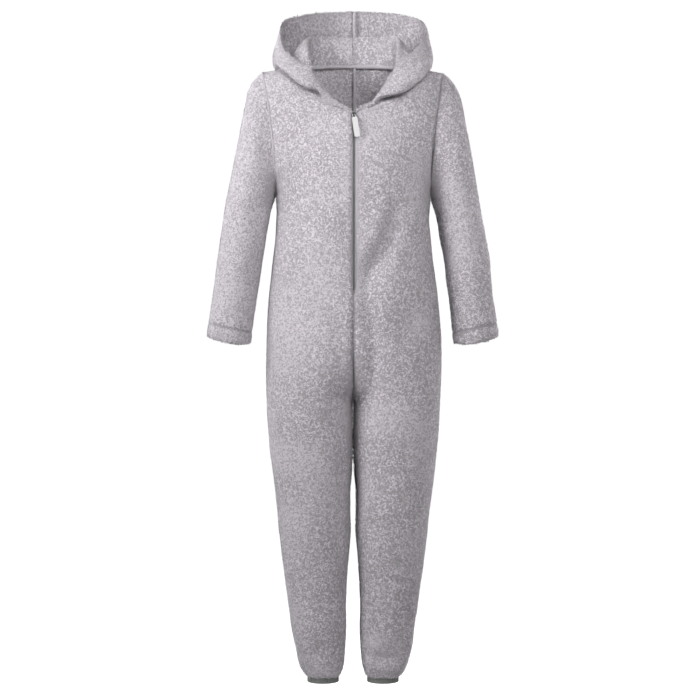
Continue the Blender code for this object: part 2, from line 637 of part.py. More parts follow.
def make_ankle_band(side_name, collection, knit):
    """The elasticated band below a leg's hem."""
    side = SIDES[side_name]
    hem = TRUNK[0]
    centre_x = side * (hem.outer + hem.inner) / 2
    centre_y = (hem.back - hem.front) / 2
    rings = []
    for inset in (0.0, BAND_THICK):
        ring = []
        for height in (BAND_TOP, BAND_BOTTOM):
            turns = [2 * pi * k / BAND_SIDES for k in range(BAND_SIDES)]
            ring.append(
                [
                    (
                        centre_x + side * (BAND_WIDTH / 2 - inset) * cos(turn),
                        centre_y + (BAND_DEPTH / 2 - inset) * sin(turn),
                        height,
                    )
                    for turn in turns
                ]
            )
        rings.append(np.array(ring))
    name = f"ankle_band_{side_name}"
    add_object(name, wall_mesh(name, rings[0], rings[1], closed=True), knit, collection)


def zip_line(inner):
    """The first row that the tapes reach, and their middle line from there up to the slider."""
    heights = trunk_heights()
    first = sum(height <= ZIP_BOTTOM - TAPE_TAIL for height in heights) - 1
    top = len(heights) - 1 + NECK_FRONT_ROW
    line = (inner["left"][first : top + 1, 0] + inner["right"][first : top + 1, 0]) / 2
    line[:, 0] = ZIP_X
    line[:, 1] += TAPE_GAP
    return first, line


def make_zip_tape(side_name, inner, line, first, collection, tape):
    """One tape of the zip, just behind the inner face of the front panel's edge."""
    side = SIDES[side_name]
    edges = []
    for row, middle in enumerate(line, start=first):
        near, far = inner[row, 0], inner[row, 1]
        share = (TAPE_WIDTH + side * ZIP_X - abs(near[0])) / (abs(far[0]) - abs(near[0]))
        edge = near + (far - near) * share + (0.0, TAPE_GAP, 0.0)
        edges.append((middle + (side * SEAM_GAP / 2, 0.0, 0.0), edge))
    edges = np.array(edges)
    lowest = (ZIP_BOTTOM - TAPE_TAIL - edges[0, 0, 2]) / (edges[1, 0, 2] - edges[0, 0, 2])
    edges[0] += (edges[1] - edges[0]) * lowest
    edges[-1] += unit(edges[-2] - edges[-1]) * (POST_LENGTH + 0.0008)
    rear = edges + (0.0, TAPE_THICK, 0.0)
    name = f"zip_tape_{side_name}"
    add_object(name, wall_mesh(name, edges, rear), tape, collection)


def weld(mesh):
    """Joins the mesh's points that lie together."""
    welded = bmesh.new()
    welded.from_mesh(mesh)
    bmesh.ops.remove_doubles(welded, verts=welded.verts, dist=1e-6)
    welded.to_mesh(mesh)
    welded.free()


def flat_outline(name, loops, thick):
    """A mesh plate from closed outlines in the XY plane. Later loops are holes."""
    curve = bpy.data.curves.new(name, "CURVE")
    curve.dimensions = "2D"
    curve.fill_mode = "BOTH"
    curve.extrude = thick / 2
    for loop in loops:
        spline = curve.splines.new("POLY")
        spline.points.add(len(loop) - 1)
        for point, (x, y) in zip(spline.points, loop, strict=True):
            point.co = (x, y, 0.0, 1.0)
        spline.use_cyclic_u = True
    drawn = bpy.data.objects.new(name, curve)
    bpy.context.scene.collection.objects.link(drawn)
    seen = drawn.evaluated_get(bpy.context.evaluated_depsgraph_get())
    plate = bpy.data.meshes.new_from_object(seen)
    bpy.data.objects.remove(drawn)
    weld(plate)
    return plate


def rounded_box(half_width, low, high, radius, steps=3):
    """The outline of a rectangle with round corners, from low to high."""
    loop = []
    corners = (
        (half_width - radius, low + radius, -pi / 2),
        (half_width - radius, high - radius, 0.0),
        (radius - half_width, high - radius, pi / 2),
        (radius - half_width, low + radius, pi),
    )
    for x, y, start in corners:
        for k in range(steps + 1):
            turn = start + pi / 2 * k / steps
            loop.append((x + radius * cos(turn), y + radius * sin(turn)))
    return loop


def join_meshes(name, base, added, placement, material, collection):
    """One object: the base mesh united with the added meshes, then placed."""
    piece = add_object(name, base, material, collection)
    for mesh in added:
        tool = bpy.data.objects.new(f"{name}_tool", mesh)
        tool.hide_render = True
        tool.display_type = "WIRE"
        collection.objects.link(tool)
        union = piece.modifiers.new("Union", "BOOLEAN")
        union.operation = "UNION"
        union.object = tool
        seen = piece.evaluated_get(bpy.context.evaluated_depsgraph_get())
        piece.data = bpy.data.meshes.new_from_object(seen)
        weld(piece.data)
        piece.modifiers.clear()
        bpy.data.objects.remove(tool)
    piece.matrix_world = placement
    return piece


def turned(mesh, matrix):
    """The mesh with its points moved by the matrix."""
    mesh.transform(matrix)
    return mesh


def slider_frame(line):
    """Where the slider's front plate rests on the teeth: X across, Y up the zip, Z out."""
    slope = Vector(line[-1] - line[-2]).normalized()
    frame = Matrix.Identity(4)
    frame.col[0][:3] = (1.0, 0.0, 0.0)
    frame.col[1][:3] = slope
    frame.col[2][:3] = Vector((1.0, 0.0, 0.0)).cross(slope)
    frame.translation = line[-1]
    return frame


def make_zip_slider(frame, collection, metal):
    """Two plates round the tapes, joined by a post above them, with a bail in front."""
    sideways = Matrix.Rotation(pi / 2, 4, "Y")
    half = SLIDER_WIDTH / 2
    front_low = COIL_HEIGHT + PLATE_GAP
    front_high = front_low + PLATE_THICK
    back_high = -TAPE_THICK - PLATE_GAP
    back_low = back_high - PLATE_THICK
    plates = [
        (back_low, -SLIDER_LENGTH),
        (back_high, -SLIDER_LENGTH),
        (back_high, -POST_LENGTH),
        (front_low, -POST_LENGTH),
        (front_low, -SLIDER_LENGTH),
        (front_high, -SLIDER_LENGTH),
        (front_high, 0.0),
        (back_low, 0.0),
    ]
    swapped = [(-out, along) for out, along in plates]
    body = turned(flat_outline("slider_body", [swapped], 2 * half), sideways)
    middle = (BAIL_LOW + BAIL_HIGH) / 2
    reach = (BAIL_HIGH - BAIL_LOW) / 2
    arch = []
    for reach_now, height in ((reach, BAIL_HEIGHT), (reach - BAIL_WIRE, BAIL_HEIGHT - BAIL_WIRE)):
        turns = [pi * k / 10 for k in range(11)]
        curve = [(-(front_high + height * sin(t)), middle + reach_now * cos(t)) for t in turns]
        arch.append(curve)
    foot = 0.0005
    arch_outline = [
        (-(front_high - foot), middle + reach),
        *arch[0],
        (-(front_high - foot), middle - reach),
        (-(front_high - foot), middle - reach + BAIL_WIRE),
        *reversed(arch[1]),
        (-(front_high - foot), middle + reach - BAIL_WIRE),
    ]
    bail = turned(flat_outline("slider_bail", [arch_outline], BAIL_WIDTH), sideways)
    join_meshes("zip_slider", body, [bail], frame, metal, collection)


def pull_pivot(frame):
    """The axis that the pull swings on, in the bail's opening."""
    opening_top = COIL_HEIGHT + PLATE_GAP + PLATE_THICK + BAIL_HEIGHT - BAIL_WIRE
    out = opening_top - LINK_WIRE / 2 - LINK_PLAY
    return frame @ Vector((0.0, (BAIL_LOW + BAIL_HIGH) / 2, out))


def make_zip_pull(frame, collection, plastic):
    """The wire link and the flat tab, hanging from the bail over the fleece."""
    link_low = -LINK_LENGTH + LINK_WIRE / 2
    outer = rounded_box(LINK_WIDTH / 2, link_low, LINK_WIRE / 2, 0.0016)
    opening = rounded_box(LINK_WIDTH / 2 - LINK_WIRE, link_low + LINK_WIRE, -LINK_WIRE / 2, 0.0008)
    link = flat_outline("pull_link", [outer, opening], LINK_WIRE)
    tab_top = LINK_WIRE * 1.5
    tab = flat_outline(
        "pull_tab", [rounded_box(TAB_WIDTH / 2, tab_top - TAB_LENGTH, tab_top, 0.0022)], TAB_THICK
    )
    at_link_foot = Matrix.Translation((0.0, link_low + LINK_WIRE / 2, 0.0))
    turned(tab, at_link_foot @ Matrix.Rotation(LINK_SLOPE - TAB_SLOPE, 4, "X"))
    upright = Matrix.Rotation(pi / 2, 4, "X")
    lean = Matrix.Rotation(-TAB_LEAN, 4, "Y")
    slope = Matrix.Rotation(-LINK_SLOPE, 4, "X")
    placement = Matrix.Translation(pull_pivot(frame)) @ slope @ lean @ upright
    join_meshes("zip_pull", link, [tab], placement, plastic, collection)


def main():
    for old in list(bpy.data.objects):
        bpy.data.objects.remove(old)
    collection = bpy.data.collections.new("Hooded fleece pyjama")
    bpy.context.scene.collection.children.link(collection)
    lilac = (0.60, 0.57, 0.60)
    knit = make_material("Ankle elastic", (0.20, 0.21, 0.20), 0.9)
    inner = {}
    for side_name, side in SIDES.items():
        fleece = {
            part: make_material(f"Fleece of the {side_name} {part}", lilac, 0.95)
            for part in ("front", "back", "sleeve", "hood")
        }
        points, normals = body_panels(side)
        sleeve_points, sleeve_normals = sleeve_rings(side)
        share_armhole(normals, sleeve_normals)
        front = (f"front_{side_name}", points["front"], normals["front"])
        inner[side_name] = make_panel(*front, collection, fleece["front"])
        back = (f"back_{side_name}", points["back"], normals["back"])
        make_panel(*back, collection, fleece["back"])
        name = f"sleeve_{side_name}"
        make_sleeve(name, sleeve_points, sleeve_normals, collection, fleece["sleeve"])
        make_hood_half(side_name, points, normals, collection, fleece["hood"])
        make_ankle_band(side_name, collection, knit)
    first, line = zip_line(inner)
    for side_name in SIDES:
        tape = make_material(f"Zip tape {side_name}", (0.36, 0.345, 0.37), 0.8)
        make_zip_tape(side_name, inner[side_name], line, first, collection, tape)
    frame = slider_frame(line)
    make_zip_slider(frame, collection, make_material("Slider metal", (0.05, 0.05, 0.055), 0.35, 1.0))
    make_zip_pull(frame, collection, make_material("Pull plastic", (0.60, 0.595, 0.58), 0.45))


main()
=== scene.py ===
"""The looks of a hooded fleece one-piece pyjama: pile, seams, zip, light and camera.

Metres, +Z up, front towards -Y, +X to the wearer's left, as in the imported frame.
"""

from collections import namedtuple
from itertools import product
from math import cos, pi, radians, sin

import bmesh
import bpy
import numpy as np
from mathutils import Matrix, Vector
from mathutils.kdtree import KDTree


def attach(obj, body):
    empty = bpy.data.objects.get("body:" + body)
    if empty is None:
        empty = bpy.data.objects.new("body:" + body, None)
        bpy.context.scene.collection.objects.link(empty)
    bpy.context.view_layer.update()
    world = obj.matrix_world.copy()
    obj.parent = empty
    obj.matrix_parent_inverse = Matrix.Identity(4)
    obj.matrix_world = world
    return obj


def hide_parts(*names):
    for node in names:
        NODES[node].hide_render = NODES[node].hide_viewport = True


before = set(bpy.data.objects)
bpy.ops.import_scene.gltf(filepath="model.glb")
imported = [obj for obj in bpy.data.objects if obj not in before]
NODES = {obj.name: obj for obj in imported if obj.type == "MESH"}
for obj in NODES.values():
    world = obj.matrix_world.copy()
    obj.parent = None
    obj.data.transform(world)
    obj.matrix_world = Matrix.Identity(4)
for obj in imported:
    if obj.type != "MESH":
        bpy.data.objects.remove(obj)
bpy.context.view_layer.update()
SIDES = {"left": 1, "right": -1}

# The cloth: a knitted backing that carries pile on its outside, and on its inside where
# the inside shows. The pile reaches to where the solid's surface is.
WELD = 1e-6
JOIN_FACE_ANGLE = radians(60)  # two triangles make a quad up to these
JOIN_SHAPE_ANGLE = radians(80)
CORNER_ANGLE = radians(50)  # a sharper edge parts the outside from the wall's narrow rim
CORNER_TURN = radians(35)  # where a cut's border turns more than this it has a corner
FINENESS = 2  # how often the faces of the cloth are halved
PILE_DEPTH = 0.0026  # from the solid's surface down to the backing
BACKING = 0.0012  # how thick the backing is
BACKING_RISE = 0.45  # how light the backing is: darker than the pile, as painted shade beneath the locks
SEAM_WIDTH = 0.0060  # the dip beside a seam
SEAM_DEPTH = 0.0012
CREASE_ENDS = 0.25  # how deep a crease is at its ends, as a share of its middle
RIPPLES = ((0.045, 71, 0.0012), (0.110, 72, 0.0030))  # of all the cloth: size, seed, depth
FLY_WIDTH = 0.0060  # the sunken seam below the zip
FLY_DEPTH = 0.0034
FLY_RUN = 0.06  # how far down from the zip it takes to be at its deepest
HEM_HEIGHT = 0.030  # from the cuff's edge up to its stitching
HEM_WIDTH = 0.0030  # the stitched dip
HEM_DEPTH = 0.0014
CUFF_CORNER = (0.343, -0.627)  # the outer end of a cuff's edge, across and up
CUFF_DOWN = (0.023, -0.1085)  # the way that a sleeve hangs there
CUFF_HALF = 0.0527  # half the flat width of a cuff
CUFF_DROOP = 0.0045  # how much lower the cuff's edge hangs in its middle
CUFF_LIFT = 0.0060  # how much higher its inner end is drawn up
OUTER_LIFT = 0.0015  # and its outer end
INNER_END = 0.35  # where those ends start, across the cuff from 0 in its middle to 1
OUTER_END = 0.6
DROOP_REACH = 0.045  # how far up the sleeve the droop reaches
ZIP_EDGE = {1: 0.0090, -1: 0.0040}  # where the flat pile beside the zip ends, left and right
ZIP_PRESSED = {1: 0.0120, -1: 0.0048}  # and how softly
PRESSED_RUN = 0.02  # how far up from the zip's foot it takes to be at its flattest
FADE_FROM = -0.42  # the left side is least flat below this, and flat above its run
FADE_RUN = 0.10
FADE_LEAST = 0.25
ZIP_X = 0.0015
ZIP_TOP = -0.1166
ZIP_FOOT = -0.524
ARMHOLE_X = -0.13  # the right armhole's seams lie beyond this and above ARMHOLE_LOW
ARMHOLE_LOW = -0.27
RAISED = -0.5  # a seam that stands up by half of what others sink
LEG_MIDDLE = 0.070  # of the ankle, across
GATHER_TOP = -1.370  # from here down the leg is drawn in to its ankle band
GATHER_DEPTH = 0.0026
GATHERS = 13
GATHER_WANDER = 1.6

# Where two pieces lie against each other: across and up, and half the place's size each way.
Meeting = namedtuple("Meeting", "across up half_width half_height")
UNDERARM = Meeting(0.182, -0.285, 0.022, 0.045)
INNER_LEG = Meeting(0.0, -0.795, 0.017, 0.125)
MEETING_FILLED = 0.85  # how much of the cloth's relief goes where pieces meet

# Locks of pile, which lie in worm-like curls
LOCKS_EACH_M2 = 120000.0
LOCK_LENGTH = 0.0062
LOCK_WIDTH = 0.0024
LOCK_SHARES = (0.7, 1.25)  # the smallest and the largest lock
LOCK_ROOT = 0.0004  # how deep it starts in the backing
LOCK_TOSS = 0.07  # how much single locks catch the light by themselves
LEAN_ALONG = 0.9  # a lock leans along its curl, with its neighbours, by itself, and down
LEAN_SHARED = 0.30
LEAN_ALONE = 0.38
LEAN_DOWN = np.array((0.0, 0.0, -0.20))
CURL_SIZE = 0.0046  # from one curl to the next
CURL_WARP = 0.0022  # how far the curls wander, and over what length
CURL_WARP_SIZE = 0.014
CURL_STEP = 0.15  # the share of CURL_SIZE over which a curl's slope is taken
CURL_HEIGHT = 0.0010
CURLIEST = 1.2  # the upper limit of how curly the pile is
INSIDE_STRETCH = (1.0, 1.0, 0.5)  # inside, the curls are drawn out upwards
FURROW = 0.17  # how wide the furrows between curls are, as a step of their smooth value
FURROW_SHARE = 0.42  # their mean depth, given back so that curly pile isn't darker
LEVEL = 0.75  # the height of smooth pile
CURL_SLOPE = 0.55  # how strongly the curls' sides catch the light
PATCH_SIZE = 0.075  # how far the flatter and the curlier patches lie apart
PATCH_MIDDLE = 0.85  # how curly they are, by how much that changes, and its limits
PATCH_CHANGE = 1.3
PATCH_LIMITS = (0.20, 1.40)
BRUSHED_MIDDLE = 0.95  # how curly the pile is at the middle, and how much more for each metre
BRUSHED_RISE = 2.6  # towards the wearer's left
BRUSHED_LIMITS = (0.25, 1.45)
BRUSHED_INSIDE = 1.35
RISE = 0.68  # how light smooth pile is, and how much lighter a curl's back is, as painted highlight, with its furrows darker, as painted shade
CURL_RISE = 0.80
STRAND = (-0.07, 0.0, 0.0, 0.07)  # how much lighter a lock is from its root to its tip: painted shade at the root

# What each kind of place does to its pile, as shares: how much less it curls, how much
# shorter it is, how much darker it is as painted shade in its dip or gap, and how much
# of it is left out.
Effect = namedtuple("Effect", "calm short dark bare")
BY_ZIP = Effect(0.9, 0.45, 0.0, 0.0)
AT_HEM = Effect(0.7, 0.5, 0.75, 0.85)
AT_SEAM = Effect(0.0, 0.0, 0.30, 0.0)
AT_FLY = Effect(0.0, 0.0, 0.85, 0.75)
AT_MEETING = Effect(0.0, 0.4, 0.30, 0.0)
HEM_SUNK = 0.0008  # how much deeper the locks at a hem lie

# Short locks along the cloth's border
EDGE_LOCK_EVERY = 0.0010
EDGE_LOCK_LENGTH = 0.0030
EDGE_LOCK_WIDTH = 0.0018
EDGE_RISE = (0.2, 0.45, 0.45, 0.65)  # from a lock's root to its tip, dark as painted shade in the seam's gap
RAISED_RISE = 0.25  # how much lighter they are at a raised seam, as painted highlight
ZIP_EDGE_PILE = 0.012  # nearer than this to the middle, the left front's border has none

# Rolls of cloth at raised seams
ROLL_SIDES = 10
ROLL_STEP = 0.003
ROLL_TAPER = 0.008  # how far from its ends a roll starts to thin
ROLL_RISE = 0.80
ROLL_LOCK_LENGTH = 0.0042
ROLL_LOCK_WIDTH = 0.0017
# A roll's locks are darker at the root, as painted shade.
ROLL_LOCK_RISE = (0.55, 0.75, 0.75, 0.85)

# Where the inside shows
NECK_SHOWS = -0.17  # above this height the inside shows at the neck
OPENING_SHOWS = 0.045  # how far up a sleeve or leg its inside shows
CUFF_EDGE = -0.640
LEG_EDGE = -1.4225

# Ankle bands and zip
BAND_FINENESS = 3
BAND_MIDDLE = -1.4286
BAND_FOLDS = 34
BAND_FOLD_DEPTH = 0.0011
BAND_THICK = 0.0018
BAND_TUCK = 0.005  # how far its upper edge goes up into the leg
TAPE_FINENESS = 1
TAPE_THICK = 0.0008
TOOTH_OUTLINE = ((-0.4, 0.0), (-0.2, 0.8), (1.6, 1.25), (2.4, 0.9), (2.6, 0.0))  # millimetres
TOOTH_PITCH = 0.0015
TOOTH_HALF = 0.00032  # half a tooth's height
SLIDER_COVERS = 0.0135  # from the zip's top down to the first tooth that shows

# Colours
WOOL = (0.60, 0.564, 0.606)
KNIT = (0.20, 0.21, 0.20)
TAPE = (0.46, 0.445, 0.47)
# The teeth are their own grey darkened with painted shade from the left front's pile, which
# overhangs them.
TEETH = (0.18, 0.175, 0.185)
METAL = (0.045, 0.045, 0.05)
PLASTIC = (0.58, 0.572, 0.575)

# Studio
EYE_DISTANCE = 4.0
EYE_X = -0.007
EYE_Z = -0.66
VIEW_WIDTH = 1.638  # what the view takes in across, at the garment
FLOOR = -1.56
ROOM = 12.0  # the radius of the pale dome around the floor
FLOOR_GLOW = 0.15  # how much light the floor gives
WORLD_LIGHT = 0.04  # and how much comes from all sides
LIT_MIDDLE = (0.0, 0.0, -0.25)  # what the lights face
SENSOR = 36.0
Light = namedtuple("Light", "name place size spread power")
LIGHTS = (
    Light("key", (-2.5, -1.3, 0.65), 1.2, 76, 15.6),
    Light("front", (0.9, -2.7, 0.6), 1.2, 80, 8.0),
    Light("top", (0.3, -2.0, 1.2), 1.2, 70, 3.5),
    Light("left_rim", (-1.5, 0.9, 0.4), 1.0, 180, 24.0),
    Light("right_rim", (1.45, 0.9, -0.1), 1.0, 180, 19.0),
)

# One cut piece of cloth: its node, its flat width, length and area, and whether its whole
# inside carries pile that shows.
Cut = namedtuple("Cut", "node width length area furry_inside")
CUTS = (
    Cut("front_left", 0.30, 1.43, 0.344, False),
    Cut("front_right", 0.30, 1.43, 0.346, False),
    Cut("back_left", 0.31, 1.45, 0.367, False),
    Cut("back_right", 0.31, 1.45, 0.367, False),
    Cut("sleeve_left", 0.42, 0.64, 0.179, False),
    Cut("sleeve_right", 0.42, 0.64, 0.179, False),
    Cut("hood_left", 0.32, 0.42, 0.123, True),
    Cut("hood_right", 0.32, 0.42, 0.115, True),
)

# What a piece's pile stands on: the outside's triangles and border, the solid's points and
# normals, the backing's two sides, and how near each point is to a seam, below zero at a
# raised one.
Cloth = namedtuple("Cloth", "corners border points normals outer inner seam")

# Soft creases of each piece and face: a line in the x, z plane, how far its middle bows
# sideways, its depth (below zero for a ridge) and half its width.
CREASES = {
    ("hood_left", "back"): (
        ((0.078, 0.131), (0.122, 0.128), 0.002, 0.0060, 0.005),
        ((0.070, 0.112), (0.116, 0.104), 0.004, -0.0040, 0.008),
    ),
    ("hood_right", "back"): (
        ((-0.080, 0.120), (-0.130, 0.100), 0.004, 0.0040, 0.008),
    ),
    ("front_left", "front"): (
        ((0.108, -0.325), (0.030, -0.500), 0.010, 0.0150, 0.019),
        ((0.070, -0.320), (0.018, -0.450), 0.006, -0.0065, 0.018),
        ((0.034, -0.470), (0.046, -0.640), -0.008, 0.0075, 0.017),
        ((0.050, -0.600), (0.032, -0.820), 0.006, 0.0090, 0.018),
        ((0.088, -0.500), (0.070, -0.640), 0.004, -0.0040, 0.022),
        ((0.080, -0.640), (0.072, -0.740), 0.004, -0.0025, 0.014),
        ((0.150, -0.560), (0.100, -0.640), 0.005, 0.0028, 0.014),
        ((0.030, -1.362), (0.108, -1.372), -0.006, 0.0120, 0.011),
        ((0.036, -1.390), (0.104, -1.394), -0.004, -0.0055, 0.010),
        ((0.140, -1.240), (0.104, -1.345), 0.006, 0.0085, 0.014),
        ((0.040, -1.060), (0.120, -1.100), 0.006, 0.0022, 0.018),
    ),
    ("front_right", "front"): (
        ((-0.130, -0.330), (-0.085, -0.430), 0.006, 0.0035, 0.014),
        ((-0.040, -0.560), (-0.030, -0.760), 0.005, 0.0035, 0.014),
        ((-0.140, -0.600), (-0.075, -0.700), 0.006, 0.0025, 0.018),
        ((-0.110, -1.080), (-0.040, -1.120), 0.006, 0.0022, 0.018),
        ((-0.105, -1.375), (-0.060, -1.350), 0.005, 0.0045, 0.010),
        ((-0.045, -1.330), (-0.035, -1.385), 0.003, 0.0035, 0.010),
    ),
    ("back_left", "back"): (
        ((0.120, -0.335), (0.040, -0.480), 0.008, 0.0045, 0.014),
        ((0.135, -0.740), (0.035, -0.845), 0.008, 0.0060, 0.014),
        ((0.120, -0.700), (0.050, -0.760), 0.006, -0.0030, 0.014),
        ((0.040, -1.070), (0.130, -1.040), 0.008, 0.0040, 0.014),
        ((0.050, -1.110), (0.120, -1.095), 0.006, 0.0030, 0.012),
        ((0.035, -1.370), (0.105, -1.362), 0.005, 0.0060, 0.011),
    ),
    ("back_right", "back"): (
        ((-0.115, -0.350), (-0.050, -0.520), 0.008, 0.0045, 0.014),
        ((-0.140, -0.720), (-0.040, -0.835), 0.008, 0.0060, 0.015),
        ((-0.045, -1.050), (-0.130, -1.075), 0.008, 0.0042, 0.014),
        ((-0.050, -1.130), (-0.115, -1.120), 0.006, 0.0028, 0.012),
        ((-0.040, -1.360), (-0.108, -1.372), 0.005, 0.0060, 0.011),
    ),
    ("sleeve_left", "front"): (
        ((0.196, -0.315), (0.262, -0.370), 0.006, 0.0050, 0.011),
        ((0.204, -0.350), (0.270, -0.395), 0.005, 0.0030, 0.011),
        ((0.232, -0.120), (0.215, -0.230), 0.005, 0.0035, 0.012),
    ),
    ("sleeve_left", "back"): (
        ((0.215, -0.380), (0.285, -0.345), 0.006, 0.0045, 0.012),
        ((0.222, -0.420), (0.290, -0.395), 0.005, 0.0032, 0.011),
    ),
    ("sleeve_right", "front"): (
        ((-0.194, -0.300), (-0.250, -0.365), 0.006, 0.0040, 0.012),
        ((-0.210, -0.375), (-0.280, -0.400), 0.005, 0.0028, 0.012),
    ),
    ("sleeve_right", "back"): (
        ((-0.215, -0.370), (-0.288, -0.350), 0.006, 0.0045, 0.012),
        ((-0.224, -0.430), (-0.292, -0.400), 0.005, 0.0032, 0.011),
    ),
}


# -------- smooth random values
CELL_FACTORS = np.array((73856093, 19349663, 83492791))  # large numbers that scatter the cells
SEED_FACTOR = 6364136
MIX_FACTOR = 1274126177
KEPT_BITS = 0xFFFFF


def hashed(cells, seed):
    """A number from -1 to 1 for each whole-numbered cell, the same on every run."""
    mixed = (cells * CELL_FACTORS).sum(axis=1) + seed * SEED_FACTOR
    mixed = (mixed ^ (mixed >> 13)) * MIX_FACTOR
    mixed = (mixed ^ (mixed >> 16)) & KEPT_BITS
    return mixed / (KEPT_BITS // 2) - 1.0


def drift(points, size, seed):
    """A smooth value from -1 to 1 that changes over about this size."""
    place = points / size
    base = np.floor(place).astype(np.int64)
    part = place - base
    ease = part * part * (3 - 2 * part)
    total = np.zeros(len(points))
    for corner in product((0, 1), repeat=3):
        weight = np.prod(np.where(corner, ease, 1 - ease), axis=1)
        total += weight * hashed(base + corner, seed)
    return total


def drift_vector(points, size, seed):
    """A smooth vector with parts from -1 to 1."""
    return np.stack([drift(points, size, seed + k) for k in range(3)], axis=1)


def unit(vectors):
    """The vectors with length 1."""
    lengths = np.linalg.norm(vectors, axis=-1, keepdims=True)
    return vectors / np.maximum(lengths, 1e-12)


# -------- meshes
def add_piece(name, mesh, material):
    """A piece of this mesh and material in the scene."""
    piece = bpy.data.objects.new(name, mesh)
    piece.data.materials.append(material)
    bpy.context.scene.collection.objects.link(piece)
    return piece


def mesh_of(name, points, faces):
    """A mesh of these points and faces, shaded smooth."""
    mesh = bpy.data.meshes.new(name)
    mesh.from_pydata([tuple(p) for p in points], [], [tuple(int(i) for i in f) for f in faces])
    mesh.shade_smooth()
    return mesh


def points_of(mesh):
    """The mesh's points as an array."""
    points = np.zeros(len(mesh.vertices) * 3)
    mesh.vertices.foreach_get("co", points)
    return points.reshape(-1, 3)


def outside_of(node):
    """The node's outside, its largest smooth region, as an open mesh, mostly of quads."""
    wall = bmesh.new()
    wall.from_mesh(node.data)
    bmesh.ops.remove_doubles(wall, verts=wall.verts, dist=WELD)
    bmesh.ops.join_triangles(
        wall,
        faces=wall.faces,
        angle_face_threshold=JOIN_FACE_ANGLE,
        angle_shape_threshold=JOIN_SHAPE_ANGLE,
    )
    wall.faces.ensure_lookup_table()
    wall.normal_update()
    regions = []
    taken = set()
    for seed in wall.faces:
        if seed.index in taken:
            continue
        taken.add(seed.index)
        region = [seed]
        for face in region:
            for edge in face.edges:
                if edge.calc_face_angle(0.0) > CORNER_ANGLE:
                    continue
                for other in edge.link_faces:
                    if other.index not in taken:
                        taken.add(other.index)
                        region.append(other)
        regions.append((sum(face.calc_area() for face in region), region))
    kept = set(max(regions, key=lambda entry: entry[0])[1])
    bmesh.ops.delete(wall, geom=[f for f in wall.faces if f not in kept], context="FACES")
    sharp = wall.verts.layers.float.new("crease_vert")
    for corner in wall.verts:
        ends = [e.other_vert(corner).co - corner.co for e in corner.link_edges if e.is_boundary]
        if len(ends) == 2 and pi - ends[0].angle(ends[1]) > CORNER_TURN:
            corner[sharp] = 1.0
    side = bpy.data.meshes.new(f"{node.name}_side")
    wall.to_mesh(side)
    wall.free()
    return side


def finer(mesh, levels):
    """The mesh as a smooth surface of smaller faces, with its border's corners kept."""
    cage = bpy.data.objects.new("cage", mesh)
    bpy.context.scene.collection.objects.link(cage)
    smooth = cage.modifiers.new("Finer", "SUBSURF")
    smooth.levels = levels
    smooth.render_levels = levels
    seen = cage.evaluated_get(bpy.context.evaluated_depsgraph_get())
    result = bpy.data.meshes.new_from_object(seen)
    bpy.data.objects.remove(cage)
    return result


def point_normals(mesh):
    """The mesh's smooth normals at its points."""
    normals = np.zeros(len(mesh.vertices) * 3)
    mesh.vertex_normals.foreach_get("vector", normals)
    return normals.reshape(-1, 3)


def border_of(mesh):
    """The mesh's border: its edges as pairs of point numbers, in the way of its faces."""
    open_mesh = bmesh.new()
    open_mesh.from_mesh(mesh)
    pairs = []
    for edge in open_mesh.edges:
        if edge.is_boundary:
            loop = edge.link_loops[0]
            pairs.append((loop.vert.index, loop.link_loop_next.vert.index))
    open_mesh.free()
    return pairs


# -------- the cloth's relief
def crease_depth(name, points, normals):
    """How far the creases push in each point of a piece."""
    depth = np.zeros(len(points))
    flat = points[:, (0, 2)]
    for face, way in (("front", -1), ("back", 1)):
        seen = np.clip(way * normals[:, 1] * 2 + 0.3, 0, 1)
        for first, last, bowed, push, width in CREASES.get((name, face), ()):
            start = np.array(first)
            line = np.array(last) - start
            length = np.linalg.norm(line)
            across = np.array((-line[1], line[0])) / length
            place = np.clip((flat - start) @ line / length**2, 0, 1)
            bow = bowed * np.sin(pi * place)
            middle = start + place[:, None] * line + bow[:, None] * across
            away = np.linalg.norm(flat - middle, axis=1)
            strength = CREASE_ENDS + (1 - CREASE_ENDS) * np.sin(pi * place)
            depth += push * strength * seen * np.exp(-((away / width) ** 2))
    return depth + sum(drift(points, size, seed) * deep for size, seed, deep in RIPPLES)


def nearness(points, targets, width):
    """1 at the targets, falling to 0 over the width."""
    tree = KDTree(len(targets))
    for number, target in enumerate(targets):
        tree.insert(target, number)
    tree.balance()
    away = np.array([tree.find(point)[2] for point in points])
    return np.exp(-((away / width) ** 2))


def brushed(points, inside):
    """How ruffled the pile is, from nearly smooth to full curls."""
    if inside:
        return np.full(len(points), BRUSHED_INSIDE)
    return np.clip(BRUSHED_MIDDLE + BRUSHED_RISE * points[:, 0], *BRUSHED_LIMITS)


def curliness(points, seed, inside):
    """How curly the pile is in its flatter and curlier patches."""
    change = PATCH_CHANGE * drift(points, PATCH_SIZE, seed + 9)
    patch = np.clip(PATCH_MIDDLE + change, *PATCH_LIMITS)
    return np.minimum(patch * brushed(points, inside), CURLIEST)


def curls(points, seed, inside):
    """Height of the pile's curls, about 0 to 1.2, and the way that it rises, at each point."""
    stretch = np.array(INSIDE_STRETCH) if inside else 1.0
    warped = points * stretch + CURL_WARP * drift_vector(points, CURL_WARP_SIZE, seed)
    middle = drift(warped, CURL_SIZE, seed + 5)
    steps = CURL_STEP * CURL_SIZE * np.eye(3)
    rises = [drift(warped + step, CURL_SIZE, seed + 5) - middle for step in steps]
    patch = curliness(points, seed, inside)
    furrow = np.exp(-((middle / FURROW) ** 2))
    steep = 2 * middle / FURROW * furrow * patch
    slope = steep[:, None] * np.stack(rises, axis=1) / CURL_STEP
    return LEVEL - patch * (furrow - FURROW_SHARE), slope


def side_of(name):
    """1 for a node of the wearer's left, -1 for one of the right."""
    return SIDES[name.split("_")[1]]


